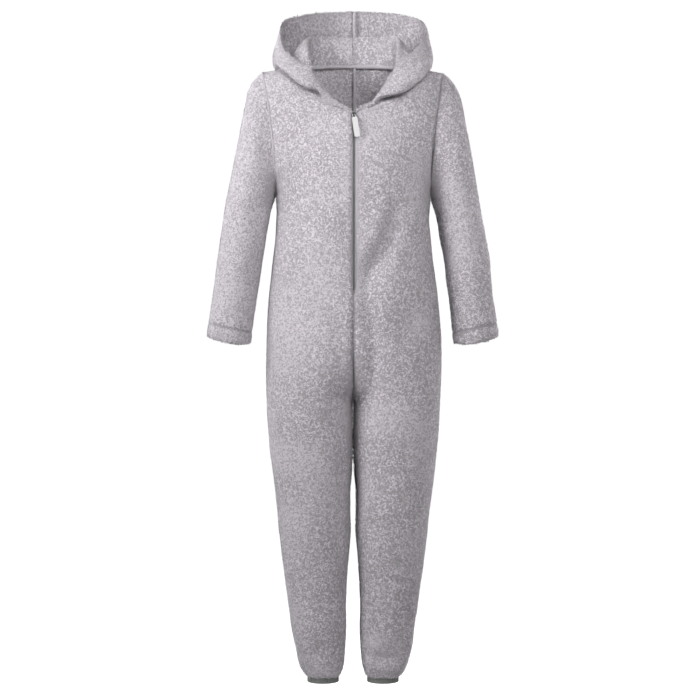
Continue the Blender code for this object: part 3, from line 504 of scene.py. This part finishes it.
def pressed(name, points):
    """How far the pile is pressed flat, from 0 to 1: beside the zip."""
    if not name.startswith("front"):
        return np.zeros(len(points))
    side = side_of(name)
    away = np.clip((points[:, 0] * side - ZIP_EDGE[side]) / ZIP_PRESSED[side], 0, None)
    flat = np.exp(-(away**3)) * np.clip((points[:, 2] - ZIP_FOOT) / PRESSED_RUN, 0, 1)
    if side > 0:
        flat *= np.clip((points[:, 2] - FADE_FROM) / FADE_RUN, FADE_LEAST, 1)
    return flat


def fly_seam(name, points):
    """The sunken seam below the zip, from 0 to 1, deepest at the crotch."""
    if not name.startswith("front"):
        return np.zeros(len(points))
    low = np.clip((ZIP_FOOT + 0.01 - points[:, 2]) / FLY_RUN, 0, 1)
    return low * np.exp(-(((points[:, 0] - ZIP_X) / FLY_WIDTH) ** 2))


def along_cuff(name, points):
    """How far points are above a cuff's edge and, from -1 to 1, across it, and its way down."""
    side = side_of(name)
    down = np.array(Vector((side * CUFF_DOWN[0], 0.0, CUFF_DOWN[1])).normalized())
    inward = np.array((side * down[2], 0.0, -side * down[0]))
    away = points - np.array((side * CUFF_CORNER[0], 0.0, CUFF_CORNER[1]))
    return -away @ down, away @ inward / CUFF_HALF - 1, down


def hem_dip(name, points, width=HEM_WIDTH):
    """The stitched dip above a cuff's edge, from 0 to 1."""
    if not name.startswith("sleeve"):
        return np.zeros(len(points))
    height, _, _ = along_cuff(name, points)
    return np.exp(-(((height - HEM_HEIGHT) / width) ** 2))


def cuff_droop(name, points):
    """How each point of a sleeve moves so that the cuff's edge hangs in a soft curve."""
    if not name.startswith("sleeve"):
        return np.zeros(points.shape)
    height, across, down = along_cuff(name, points)
    low = np.clip(1 - height / DROOP_REACH, 0, 1) ** 2
    inner_end = np.clip((across - INNER_END) / (1 - INNER_END), 0, 1) ** 2
    outer_end = np.clip((-across - OUTER_END) / (1 - OUTER_END), 0, 1) ** 2
    lower = CUFF_DROOP * (1 - across**2) - CUFF_LIFT * inner_end - OUTER_LIFT * outer_end
    return (low * lower)[:, None] * down


def seam_way(name, points):
    """How a piece's seams lie: 1 where they sink in, below zero where they stand up."""
    way = np.ones(len(points))
    if name.endswith("right") and not name.startswith("hood"):
        way[(points[:, 0] < ARMHOLE_X) & (points[:, 2] > ARMHOLE_LOW)] = RAISED
    return way


def meeting(points):
    """How near each point is to where two pieces lie against each other, from 0 to 1."""
    near = np.zeros(len(points))
    for place in (UNDERARM, INNER_LEG):
        across = (np.abs(points[:, 0]) - place.across) / place.half_width
        up = (points[:, 2] - place.up) / place.half_height
        near = np.maximum(near, np.exp(-(across**4) - up**4))
    return near


def gathered(name, points):
    """The folds that draw a leg in to its ankle band, from 0 to 1."""
    if name.startswith(("sleeve", "hood")):
        return np.zeros(len(points))
    low = np.clip((GATHER_TOP - points[:, 2]) / (GATHER_TOP - LEG_EDGE), 0, 1) ** 1.5
    wander = GATHER_WANDER * drift(points, 0.030, 83)
    return folds(points, side_of(name), GATHERS, wander) * low


def folds(points, side, amount, wander):
    """Upright folds around an ankle, from 0 to 1."""
    turn = np.arctan2(points[:, 1], points[:, 0] - side * LEG_MIDDLE)
    return 0.5 + 0.5 * np.cos(amount * turn + wander)


# -------- finishes
def shader_of(material):
    """The material's nodes, links and Principled shader."""
    material.use_nodes = True
    tree = material.node_tree
    return tree.nodes, tree.links, tree.nodes["Principled BSDF"]


def set_inputs(node, values):
    """Gives a node's inputs these values."""
    for name, value in values.items():
        node.inputs[name].default_value = value


def multiplied(nodes, links, first, second):
    """The product of two outputs."""
    times = nodes.new("ShaderNodeMath")
    times.operation = "MULTIPLY"
    links.new(first, times.inputs[0])
    links.new(second, times.inputs[1])
    return times.outputs[0]


def mottle_group():
    """Shader group: a cloth colour that drifts in lightness, softly and in small flecks."""
    group = bpy.data.node_groups.new("Mottled wool tint", "ShaderNodeTree")
    face = group.interface
    face.new_socket("Colour", in_out="INPUT", socket_type="NodeSocketColor")
    face.new_socket("Shade", in_out="INPUT", socket_type="NodeSocketFloat")
    face.new_socket("Fleck Scale", in_out="INPUT", socket_type="NodeSocketFloat")
    face.new_socket("Colour", in_out="OUTPUT", socket_type="NodeSocketColor")
    nodes, links = group.nodes, group.links
    given = nodes.new("NodeGroupInput")
    made = nodes.new("NodeGroupOutput")
    place = nodes.new("ShaderNodeTexCoord")
    broad = nodes.new("ShaderNodeTexNoise")
    set_inputs(broad, {"Scale": 16.0, "Detail": 3.0})
    fleck = nodes.new("ShaderNodeTexNoise")
    set_inputs(fleck, {"Detail": 2.0})
    links.new(given.outputs["Fleck Scale"], fleck.inputs["Scale"])
    drifts = []
    for noise in (broad, fleck):
        links.new(place.outputs["Object"], noise.inputs["Vector"])
        span = nodes.new("ShaderNodeMapRange")
        set_inputs(span, {"From Min": 0.3, "From Max": 0.7, "To Min": 0.97, "To Max": 1.03})
        links.new(noise.outputs["Fac"], span.inputs["Value"])
        drifts.append(span.outputs["Result"])
    both = multiplied(nodes, links, *drifts)
    shaded = multiplied(nodes, links, both, given.outputs["Shade"])
    tint = nodes.new("ShaderNodeMix")
    tint.data_type = "RGBA"
    tint.blend_type = "MULTIPLY"
    tint.inputs["Factor"].default_value = 1.0
    links.new(given.outputs["Colour"], tint.inputs["A"])
    links.new(shaded, tint.inputs["B"])
    links.new(tint.outputs["Result"], made.inputs["Colour"])
    return group


def add_bump(nodes, links, texture, shader, strength, distance):
    """Gives the shader the relief of a texture that lies in the piece's own space."""
    place = nodes.new("ShaderNodeTexCoord")
    links.new(place.outputs["Object"], texture.inputs["Vector"])
    bump = nodes.new("ShaderNodeBump")
    set_inputs(bump, {"Strength": strength, "Distance": distance})
    links.new(texture.outputs["Fac"], bump.inputs["Height"])
    links.new(bump.outputs["Normal"], shader.inputs["Normal"])


def wool_material(name, colour, mottle, dark, light, fuzz):
    """A pile material: darker where the point value "rise" is low, as painted shade, lighter
    where it is high, as painted highlight, and fuzzy by bump.
    """
    material = bpy.data.materials.new(name)
    nodes, links, shader = shader_of(material)
    rise = nodes.new("ShaderNodeAttribute")
    rise.attribute_name = "rise"
    depth = nodes.new("ShaderNodeMapRange")
    set_inputs(depth, {"To Min": dark, "To Max": light})
    links.new(rise.outputs["Fac"], depth.inputs["Value"])
    tint = nodes.new("ShaderNodeGroup")
    tint.node_tree = mottle
    set_inputs(tint, {"Colour": (*colour, 1.0), "Fleck Scale": 190.0})
    links.new(depth.outputs["Result"], tint.inputs["Shade"])
    links.new(tint.outputs["Colour"], shader.inputs["Base Color"])
    set_inputs(
        shader,
        {
            "Roughness": 0.95,
            "Sheen Weight": 0.50,
            "Sheen Roughness": 0.45,
            "Sheen Tint": (0.95, 0.92, 0.96, 1.0),
            "Specular IOR Level": 0.15,
        },
    )
    if fuzz > 0:
        hair = nodes.new("ShaderNodeTexNoise")
        set_inputs(hair, {"Scale": 420.0, "Detail": 4.0, "Distortion": 1.2})
        add_bump(nodes, links, hair, shader, fuzz, 0.0016)
    return material


def plain_material(name, colour, roughness, metallic=0.0):
    """A plain finish of one colour."""
    material = bpy.data.materials.new(name)
    shader = shader_of(material)[2]
    finish = {"Base Color": (*colour, 1.0), "Roughness": roughness, "Metallic": metallic}
    set_inputs(shader, finish)
    return material


def ribbed_material(name, colour, pitch, depth, axis):
    """A knit or woven finish with fine ribs that lie across one axis."""
    material = plain_material(name, colour, 0.85)
    nodes, links, shader = shader_of(material)
    ribs = nodes.new("ShaderNodeTexWave")
    ribs.bands_direction = axis
    scale = 2 * pi / 20 / pitch  # at a scale of 1 the bands come every 2 pi / 20
    set_inputs(ribs, {"Scale": scale, "Distortion": 0.6, "Detail Scale": 3.0})
    add_bump(nodes, links, ribs, shader, 0.8, depth)
    return material


# -------- cloth pieces
def set_rise(mesh, values):
    """Keeps how far each point stands up in its pile, from 0 to 1, which the fleece materials
    paint as light and shade.
    """
    rise = mesh.attributes.new("rise", "FLOAT", "POINT")
    rise.data.foreach_set("value", np.asarray(values, np.float32))


def thin_shell(name, surface, outer, inner, border, material):
    """A closed thin wall between two sides of the same faces."""
    count = len(outer)
    faces = [tuple(face.vertices) for face in surface.polygons]
    walls = faces + [tuple(i + count for i in reversed(face)) for face in faces]
    walls += [(b, a, a + count, b + count) for a, b in border]
    return add_piece(name, mesh_of(name, np.concatenate((outer, inner)), walls), material)


def make_cloth(cut, wool):
    """A piece's backing, on its node's form. Returns what its pile stands on."""
    surface = finer(outside_of(NODES[cut.node]), FINENESS)
    points = points_of(surface)
    normals = point_normals(surface)
    border = border_of(surface)
    seam = nearness(points, points[sorted({a for a, _ in border})], SEAM_WIDTH)
    way = seam_way(cut.node, points)
    deep = PILE_DEPTH + crease_depth(cut.node, points, normals) + SEAM_DEPTH * seam * way
    deep += HEM_DEPTH * hem_dip(cut.node, points)
    deep += FLY_DEPTH * fly_seam(cut.node, points)
    deep += GATHER_DEPTH * gathered(cut.node, points)
    deep *= 1 - MEETING_FILLED * meeting(points)
    if not cut.node.startswith(("sleeve", "hood")):
        deep *= np.clip((points[:, 2] - LEG_EDGE) / 0.012, 0.3, 1)
    droop = cuff_droop(cut.node, points)
    outer = points - normals * deep[:, None] + droop
    inner = points - normals * (deep + BACKING)[:, None] + droop
    surface.vertices.foreach_set("co", outer.ravel())
    surface.update()
    normals = point_normals(surface)
    piece = thin_shell(f"{cut.node}_cloth", surface, outer, inner, border, wool)
    # The backing is darker still in the stitched dip above a cuff and along the fly seam, as
    # painted shade in these dips.
    bare = np.maximum(hem_dip(cut.node, points), 0.8 * fly_seam(cut.node, points) ** 3)
    set_rise(piece.data, np.tile(BACKING_RISE * (1 - bare), 2))
    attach(piece, "garment")
    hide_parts(cut.node)
    surface.calc_loop_triangles()
    corners = np.zeros(len(surface.loop_triangles) * 3, np.int32)
    surface.loop_triangles.foreach_get("vertices", corners)
    return Cloth(corners.reshape(-1, 3), border, points, normals, outer, inner, seam * way)


def locks_at(root, normal, lean, length, width, rng, ruffle=1.0):
    """The points of bent locks, four each, from the root to the tip."""
    first = unit(0.30 * ruffle * normal + lean)
    bend = 0.35 * rng.normal(size=lean.shape) * (1 - normal**2)
    second = unit(0.02 * normal + lean + bend)
    middle = root + first * (0.5 * length)[:, None]
    tip = middle + second * (0.5 * length)[:, None]
    flat = unit(np.cross(first, normal) + 1e-9)
    roll = 0.6 * ruffle * rng.uniform(-1, 1, (len(root), 1))
    across = np.cos(roll) * flat + np.sin(roll) * np.cross(first, flat)
    across *= (0.5 * width)[:, None]
    return np.stack((root, middle - across, middle + across, tip), axis=1).reshape(-1, 3)


def lock_mesh(name, points, shading, rise):
    """One mesh of many locks, shaded by the given normals."""
    start = 4 * np.arange(len(points) // 4)[:, None]
    triangles = np.concatenate((start + (0, 2, 1), start + (1, 2, 3)), axis=1).reshape(-1, 3)
    mesh = bpy.data.meshes.new(name)
    mesh.vertices.add(len(points))
    mesh.vertices.foreach_set("co", points.ravel())
    mesh.loops.add(triangles.size)
    mesh.loops.foreach_set("vertex_index", triangles.ravel().astype(np.int32))
    mesh.polygons.add(len(triangles))
    mesh.polygons.foreach_set("loop_start", np.arange(0, triangles.size, 3, dtype=np.int32))
    mesh.update(calc_edges=True)
    mesh.shade_smooth()
    set_rise(mesh, rise)
    mesh.normals_split_custom_set_from_vertices(shading.tolist())
    return mesh


def sown(points, corners, amount, rng):
    """Even random places on a mesh: for each its face's corners, and their weights."""
    a, b, c = (points[corners[:, k]] for k in range(3))
    areas = np.linalg.norm(np.cross(b - a, c - a), axis=1)
    picked = np.searchsorted(np.cumsum(areas) / areas.sum(), rng.random(amount))
    share = rng.random((amount, 2))
    fold = share.sum(axis=1) > 1
    share[fold] = 1 - share[fold]
    weights = np.concatenate((1 - share.sum(axis=1, keepdims=True), share), axis=1)
    return corners[np.minimum(picked, len(corners) - 1)], weights


def blended(values, numbers, weights):
    """The values at places on a mesh."""
    taken = values[numbers]
    return (taken * (weights if taken.ndim == 2 else weights[..., None])).sum(axis=1)


def tangent(vectors, normal):
    """The vectors' parts that lie in the surface."""
    return vectors - normal * (vectors * normal).sum(axis=1, keepdims=True)


def lean_of(name, place, normal, seed, inside, rng):
    """Which way the locks at these places lie: mostly along their curls."""
    _, slope = curls(place, seed, inside)
    spin = np.sign(drift(place, 0.020, seed + 17))[:, None]
    lean = LEAN_ALONG * spin * np.cross(normal, unit(tangent(slope, normal)))
    lean += LEAN_SHARED * drift_vector(place, 0.045, seed + 21)
    lean += LEAN_ALONE * rng.normal(size=lean.shape) + LEAN_DOWN
    if name == "front_left":
        by_zip = (place[:, 0] < 0.0165) & (place[:, 2] > ZIP_FOOT)
        lean[by_zip, 0] = np.abs(lean[by_zip, 0])
    if name.startswith("sleeve"):
        down = along_cuff(name, place)[2]
        lean -= (hem_dip(name, place, 3 * HEM_WIDTH) * (lean @ down))[:, None] * down
    return unit(tangent(lean, normal))


def pile_on(name, place, root, normal, seam, seed, inside, rng):
    """Locks of pile at these roots: their points, shading normals and rise, which carries their
    painted light and shade.
    """
    ruffle = np.minimum(curliness(place, seed, inside), 1)[:, None]
    hem = hem_dip(name, place)
    flat = pressed(name, place)
    close = meeting(place)
    fly = fly_seam(name, place)
    calm = (1 - BY_ZIP.calm * flat) * (1 - AT_HEM.calm * hem)
    lean = lean_of(name, place, normal, seed, inside, rng)
    length = LOCK_LENGTH * rng.uniform(*LOCK_SHARES, len(root))
    length *= (1 - BY_ZIP.short * flat) * (1 - AT_HEM.short * hem)
    length *= 1 - AT_MEETING.short * close
    width = LOCK_WIDTH * rng.uniform(*LOCK_SHARES, len(root)) * (1.1 - 0.25 * ruffle[:, 0])
    stand = normal * (1 + 0.8 * close)[:, None]
    points = locks_at(root - LOCK_ROOT * normal, stand, lean, length, width, rng, ruffle)
    tossed = LOCK_TOSS * calm[:, None] * ruffle * rng.normal(size=lean.shape)
    # Painted shade in the cuff's stitched dip, beside sunken seams, along the fly seam and where
    # pieces meet; a raised seam's value is below zero, so there it is a painted highlight.
    shade = (1 - AT_HEM.dark * hem) * (1 - AT_SEAM.dark * seam)
    shade *= (1 - AT_FLY.dark * fly**3) * (1 - AT_MEETING.dark * close)
    shade *= 1 + (0.04 + 0.30 * ruffle[:, 0]) * rng.uniform(-0.5, 0.5, len(root))
    over = points + np.repeat(place - root, 4, axis=0)
    calm, flat, hem, shade = (np.repeat(value, 4) for value in (calm, flat, hem, shade))
    normal, tossed, ruffle = (np.repeat(value, 4, axis=0) for value in (normal, tossed, ruffle))
    height, slope = curls(over, seed, inside)
    height = LEVEL + (height - LEVEL) * calm + 0.1 * flat
    points += normal * (CURL_HEIGHT * height - HEM_SUNK * hem)[:, None]
    tilt = tossed - CURL_SLOPE * tangent(slope, normal) * calm[:, None] * ruffle
    # Painted highlight on the curls' backs, painted shade in their furrows and at each lock's
    # root.
    strand = np.tile(STRAND, len(root)) * (0.4 + 0.6 * ruffle[:, 0])
    rise = (RISE + CURL_RISE * (height - LEVEL) + strand) * shade
    return points, unit(normal + tilt), rise


def edge_locks(name, cloth, rng):
    """Short locks that stand out from a cloth's border and close the gaps at its seams."""
    pairs = np.array(cloth.border)
    if name == "front_left":
        first = cloth.points[pairs[:, 0]]
        pairs = pairs[(first[:, 0] > ZIP_EDGE_PILE) | (first[:, 2] < ZIP_FOOT)]
    starts, ends = (0.5 * (cloth.outer + cloth.inner)[pairs[:, k]] for k in (0, 1))
    lengths = np.linalg.norm(ends - starts, axis=1)
    amount = int(lengths.sum() / EDGE_LOCK_EVERY)
    picked = np.searchsorted(np.cumsum(lengths) / lengths.sum(), rng.random(amount))
    picked = np.minimum(picked, len(pairs) - 1)
    part = rng.random(amount)[:, None]
    root = starts[picked] * (1 - part) + ends[picked] * part
    normal = unit(cloth.normals[pairs[picked, 0]])
    along = unit((ends - starts)[picked])
    out = np.cross(along, normal)
    stand = unit(normal * rng.uniform(-0.3, 1.0, (amount, 1)) + 0.8 * out)
    lean = unit(0.5 * out + 0.8 * along * rng.normal(size=(amount, 1)))
    length = EDGE_LOCK_LENGTH * rng.uniform(0.7, 1.2, amount)
    points = locks_at(root, stand, lean, length, np.full(amount, EDGE_LOCK_WIDTH), rng)
    shading = unit(stand + 0.5 * normal + 0.25 * rng.normal(size=stand.shape))
    # Painted shade in the gap at the border, lighter at a raised seam as painted highlight.
    lighter = RAISED_RISE * (seam_way(name, root) < 0)
    rise = np.array(EDGE_RISE) + lighter[:, None]
    return points, np.repeat(shading, 4, axis=0), rise.ravel()


def shows_inside(cut, points):
    """Whether a piece's inside can be seen at each point."""
    if cut.furry_inside:
        return np.ones(len(points), bool)
    edge = CUFF_EDGE if cut.node.startswith("sleeve") else LEG_EDGE
    near_neck = (points[:, 2] > NECK_SHOWS) & (not cut.node.startswith("sleeve"))
    return near_neck | (points[:, 2] < edge + OPENING_SHOWS)


def make_pile(cut, cloth, wool):
    """The pile on a piece's outside, and on its inside where that shows."""
    seed = 100 + 20 * [c.node for c in CUTS].index(cut.node)
    rng = np.random.default_rng(seed)
    a, b, c = (cloth.points[cloth.corners[:, k]] for k in range(3))
    area = np.linalg.norm(np.cross(b - a, c - a), axis=1).sum() / 2
    for label, way, base in (("outer", 1.0, cloth.outer), ("inner", -1.0, cloth.inner)):
        amount = int(area * LOCKS_EACH_M2)
        numbers, weights = sown(cloth.points, cloth.corners, amount, rng)
        place = blended(cloth.points, numbers, weights)
        kept = np.ones(amount, bool) if way > 0 else shows_inside(cut, place)
        bare = AT_HEM.bare * hem_dip(cut.node, place)
        bare += AT_FLY.bare * fly_seam(cut.node, place) ** 3
        kept &= rng.random(amount) > bare
        numbers, weights, place = numbers[kept], weights[kept], place[kept]
        root = blended(base, numbers, weights)
        normal = unit(blended(cloth.normals, numbers, weights)) * way
        seam = blended(cloth.seam, numbers, weights)
        inside = way < 0
        parts = [pile_on(cut.node, place, root, normal, seam, seed + inside, inside, rng)]
        if way > 0:
            parts.append(edge_locks(cut.node, cloth, rng))
        points, shading, rise = (np.concatenate(group) for group in zip(*parts))
        locks = lock_mesh("pile", points, shading, rise)
        piece = add_piece(f"{cut.node}_{label}_pile", locks, wool)
        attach(piece, "garment")


# -------- seams
def seam_run(cloth, near):
    """Numbers of the border's points along the seam whose middle is nearest to a place."""
    after = dict(cloth.border)
    before = {b: a for a, b in cloth.border}
    points = cloth.points

    def turns(number):
        ahead = unit(points[after[number]] - points[number])
        behind = unit(points[number] - points[before[number]])
        return ahead @ behind < cos(CORNER_TURN)

    best = None
    for corner in [number for number in after if turns(number)]:
        run = [corner, after[corner]]
        while not turns(run[-1]):
            run.append(after[run[-1]])
        away = np.linalg.norm(points[run[len(run) // 2]] - np.array(near))
        if best is None or away < best[0]:
            best = (away, run)
    return np.array(best[1])


def even_path(path, outward):
    """A path in even steps: how far along it each step is, its points and its outward ways."""
    steps = np.linalg.norm(np.diff(path, axis=0), axis=1)
    place = np.concatenate(((0.0,), np.cumsum(steps)))
    even = np.linspace(0, place[-1], max(8, int(place[-1] / ROLL_STEP)))
    line, out = (
        np.stack([np.interp(even, place, given[:, k]) for k in range(3)], axis=1)
        for given in (path, outward)
    )
    return even, line, unit(out)


def make_roll(name, path, outward, radius, wools, seed):
    """The furry roll that a seam's allowance makes along a path: its core and its pile."""
    rng = np.random.default_rng(seed)
    even, line, out = even_path(path, outward)
    along = unit(np.gradient(line, axis=0))
    out = unit(tangent(out, along))
    beside = np.cross(along, out)
    taper = np.clip(np.minimum(even, even[-1] - even) / ROLL_TAPER, 0.15, 1)
    thick = radius * taper * (1 + 0.22 * drift(line, 0.012, seed))
    turns = [2 * pi * k / ROLL_SIDES for k in range(ROLL_SIDES)]
    ways = np.stack([cos(turn) * out + sin(turn) * beside for turn in turns], axis=1)
    points = (line[:, None] + ways * thick[:, None, None]).reshape(-1, 3)
    normals = ways.reshape(-1, 3)
    faces = []
    for row, k in product(range(len(line) - 1), range(ROLL_SIDES)):
        first = row * ROLL_SIDES
        above = first + ROLL_SIDES
        following = (k + 1) % ROLL_SIDES
        faces.append((first + k, first + following, above + following, above + k))
    triangles = [(a, b, c) for a, b, c, _ in faces] + [(a, c, d) for a, _, c, d in faces]
    faces.append(tuple(range(ROLL_SIDES))[::-1])
    faces.append(tuple((len(line) - 1) * ROLL_SIDES + k for k in range(ROLL_SIDES)))
    core = mesh_of(name, points, faces)
    set_rise(core, np.full(len(points), ROLL_RISE))
    piece = add_piece(name, core, wools[0])
    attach(piece, "garment")
    amount = int(len(line) * ROLL_SIDES * 0.5)
    numbers, weights = sown(points, np.array(triangles), amount, rng)
    root = blended(points, numbers, weights)
    normal = unit(blended(normals, numbers, weights))
    lean = unit(tangent(rng.normal(size=root.shape), normal))
    length = ROLL_LOCK_LENGTH * rng.uniform(0.7, 1.2, len(root))
    width = np.full(len(root), ROLL_LOCK_WIDTH)
    locks = locks_at(root, normal, lean, length, width, rng)
    shading = np.repeat(unit(normal + 0.25 * rng.normal(size=normal.shape)), 4, axis=0)
    # Darker at each lock's root, as painted shade.
    rise = np.tile(ROLL_LOCK_RISE, len(root))
    piece = add_piece(f"{name}_pile", lock_mesh(f"{name}_pile", locks, shading, rise), wools[1])
    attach(piece, "garment")


def make_neck_seams(cloths, wools):
    """The rolls of the neck seam, the middle back seam and the hood's middle seam, inside."""
    halves = []
    for name in ("back_left", "back_right"):
        cloth = cloths[name]
        run = seam_run(cloth, (side_of(name) * 0.075, 0.060, 0.012))
        order = np.argsort(np.abs(cloth.points[run, 0]))
        halves.append((cloth.inner[run][order], -cloth.normals[run][order]))
    path = np.concatenate((halves[1][0][::-1], halves[0][0]))
    outward = np.concatenate((halves[1][1][::-1], halves[0][1]))
    make_roll("neck_seam_roll", path + 0.0014 * outward, outward, 0.0048, wools, 301)
    cloth = cloths["back_left"]
    run = seam_run(cloth, (0.0, 0.085, -0.42))
    run = run[cloth.points[run, 2] > NECK_SHOWS - 0.03]
    outward = -cloth.normals[run]
    path = cloth.inner[run] + 0.0036 * outward + np.array((0.0046, 0.0, 0.0))
    make_roll("back_seam_roll", path, outward, 0.0042, wools, 302)
    cloth = cloths["hood_left"]
    run = seam_run(cloth, (0.0, 0.17, 0.10))
    outward = -cloth.normals[run]
    path = cloth.inner[run] + 0.0046 * outward + np.array((0.0048, 0.0, 0.0))
    make_roll("hood_seam_roll", path, outward, 0.0046, wools, 303)


def make_armhole_ridge(cloths, wools):
    """The raised seam around the right armhole."""
    for face, place in (("front", (-0.19, -0.06, -0.15)), ("back", (-0.19, 0.06, -0.15))):
        cloth = cloths[f"{face}_right"]
        run = seam_run(cloth, place)
        outward = cloth.normals[run]
        path = cloth.outer[run] + 0.0012 * outward
        make_roll(f"armhole_{face}_ridge", path, outward, 0.0022, wools, 310)


# -------- ankle bands and zip
def make_ankle_band(side_name, knit):
    """The elasticated band below a leg, drawn in to many small folds."""
    node = f"ankle_band_{side_name}"
    surface = finer(outside_of(NODES[node]), BAND_FINENESS)
    points = points_of(surface)
    normals = point_normals(surface)
    fold = folds(points, SIDES[side_name], BAND_FOLDS, 2.0 * drift(points, 0.02, 91))
    deep = 0.0003 + BAND_FOLD_DEPTH * fold
    outer = points - normals * deep[:, None]
    inner = points - normals * (deep + BAND_THICK)[:, None]
    tuck = np.clip((points[:, 2] - BAND_MIDDLE) / (LEG_EDGE - BAND_MIDDLE), 0, 1)[:, None] ** 3
    for wall in (outer, inner):
        wall += tuck * (np.array((0.0, 0.0, BAND_TUCK)) - 0.0015 * normals)
    piece = thin_shell(f"{node}_knit", surface, outer, inner, border_of(surface), knit)
    set_rise(piece.data, np.tile(1 - fold, 2))
    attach(piece, "garment")
    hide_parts(node)


def make_tape(side_name, weave):
    """One woven tape of the zip."""
    node = f"zip_tape_{side_name}"
    surface = finer(outside_of(NODES[node]), TAPE_FINENESS)
    points = points_of(surface)
    normals = point_normals(surface)
    inner = points - normals * TAPE_THICK
    piece = thin_shell(f"{node}_weave", surface, points, inner, border_of(surface), weave)
    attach(piece, "garment")
    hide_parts(node)


def make_teeth(coil):
    """The zip's closed teeth, up to the slider."""
    rows = np.array([v.co for v in NODES["zip_tape_left"].data.vertices])
    rows = rows[rows[:, 0] < ZIP_X + 0.002]
    heights = np.unique(rows[:, 2].round(5))
    front = [rows[np.abs(rows[:, 2] - z) < 2e-5][:, 1].min() for z in heights]
    points = []
    faces = []
    top = ZIP_TOP - SLIDER_COVERS
    for number in range(int((top - ZIP_FOOT) / (TOOTH_PITCH / 2))):
        z = top - number * TOOTH_PITCH / 2
        side = 1 if number % 2 else -1
        y = np.interp(z, heights, front)
        start = len(points)
        for rise in (-TOOTH_HALF, TOOTH_HALF):
            points += [
                (ZIP_X + side * u / 1000, y - v / 1000, z + rise) for u, v in TOOTH_OUTLINE
            ]
        size = len(TOOTH_OUTLINE)
        low = [start + k for k in range(size)]
        high = [start + size + k for k in range(size)]
        ring = [(low[k], low[(k + 1) % size], high[(k + 1) % size], high[k]) for k in range(size)]
        walls = ring + [tuple(reversed(low)), tuple(high)]
        faces += walls if side > 0 else [tuple(reversed(wall)) for wall in walls]
    piece = add_piece("zip_teeth", mesh_of("zip_teeth", points, faces), coil)
    piece.data.shade_flat()
    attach(piece, "garment")


def finish_hard(node, material, bevel):
    """A hard solid with softened edges and its own finish."""
    piece = NODES[node]
    piece.data.materials.clear()
    piece.data.materials.append(material)
    rounding = piece.modifiers.new("Rounded edges", "BEVEL")
    rounding.width = bevel
    rounding.segments = 2
    rounding.limit_method = "ANGLE"
    rounding.angle_limit = radians(40)
    rounding.harden_normals = True


# -------- studio
def add_area_light(light):
    """A soft square light that faces the garment."""
    lamp = bpy.data.lights.new(light.name, "AREA")
    lamp.size = light.size
    lamp.spread = radians(light.spread)
    lamp.energy = light.power
    holder = bpy.data.objects.new(light.name, lamp)
    holder.location = light.place
    aim = Vector(LIT_MIDDLE) - Vector(light.place)
    holder.rotation_euler = aim.to_track_quat("-Z", "Y").to_euler()
    bpy.context.scene.collection.objects.link(holder)


def paper_material(name, glow):
    """Pale paper that the camera sees as white and that lights the garment a little."""
    paper = bpy.data.materials.new(name)
    nodes, links, shader = shader_of(paper)
    set_inputs(
        shader,
        {
            "Base Color": (0.60, 0.60, 0.60, 1.0),
            "Roughness": 0.9,
            "Emission Color": (1.0, 1.0, 1.0, 1.0),
        },
    )
    path = nodes.new("ShaderNodeLightPath")
    strength = nodes.new("ShaderNodeMapRange")
    set_inputs(strength, {"To Min": glow, "To Max": 1.0})
    links.new(path.outputs["Is Camera Ray"], strength.inputs["Value"])
    links.new(strength.outputs["Result"], shader.inputs["Emission Strength"])
    return paper


def add_room():
    """A pale floor with a pale dome around it, so that every view has a plain background."""
    ways = ((-1, -1), (1, -1), (1, 1), (-1, 1))
    corners = [(x * ROOM, y * ROOM, FLOOR) for x, y in ways]
    floor_paper = paper_material("Floor paper", FLOOR_GLOW)
    floor = add_piece("floor", mesh_of("floor", corners, [(0, 1, 2, 3)]), floor_paper)
    ball = bmesh.new()
    bmesh.ops.create_uvsphere(ball, u_segments=48, v_segments=24, radius=ROOM)
    shell = bpy.data.meshes.new("dome")
    ball.to_mesh(shell)
    ball.free()
    dome = add_piece("dome", shell, paper_material("Dome paper", 0.0))
    dome.visible_diffuse = False
    dome.visible_glossy = False
    dome.visible_transmission = False
    dome.visible_shadow = False


def add_camera():
    """The camera, level with the garment's middle, in front of it."""
    eye = bpy.data.cameras.new("camera")
    eye.sensor_width = SENSOR
    eye.lens = SENSOR * EYE_DISTANCE / VIEW_WIDTH
    holder = bpy.data.objects.new("camera", eye)
    holder.location = (EYE_X, -EYE_DISTANCE, EYE_Z)
    holder.rotation_euler = (pi / 2, 0.0, 0.0)
    bpy.context.scene.collection.objects.link(holder)
    bpy.context.scene.camera = holder


def light_world():
    """A dim, even light from all sides."""
    world = bpy.data.worlds.new("studio")
    world.use_nodes = True
    background = world.node_tree.nodes["Background"]
    set_inputs(background, {"Color": (1.0, 1.0, 1.0, 1.0), "Strength": WORLD_LIGHT})
    bpy.context.scene.world = world
    bpy.context.scene.view_settings.view_transform = "Standard"


mottle = mottle_group()
backing = wool_material("Fleece backing", WOOL, mottle, 0.38, 1.0, 0.7)
pile = wool_material("Fleece pile", WOOL, mottle, 0.36, 1.28, 0.0)
cloths = {cut.node: make_cloth(cut, backing) for cut in CUTS}
for cut in CUTS:
    make_pile(cut, cloths[cut.node], pile)
make_neck_seams(cloths, (backing, pile))
make_armhole_ridge(cloths, (backing, pile))

knit = ribbed_material("Ankle knit", KNIT, 0.0014, 0.0006, "X")
weave = ribbed_material("Zip tape weave", TAPE, 0.0012, 0.0003, "X")
for side_name in SIDES:
    make_ankle_band(side_name, knit)
    make_tape(side_name, weave)
make_teeth(plain_material("Zip teeth", TEETH, 0.5))
slider_finish = plain_material("Slider metal", METAL, 0.35, 0.8)
finish_hard("zip_slider", slider_finish, 0.0002)
finish_hard("zip_pull", plain_material("Pull plastic", PLASTIC, 0.4), 0.0005)

add_room()
add_camera()
light_world()
for light in LIGHTS:
    add_area_light(light)
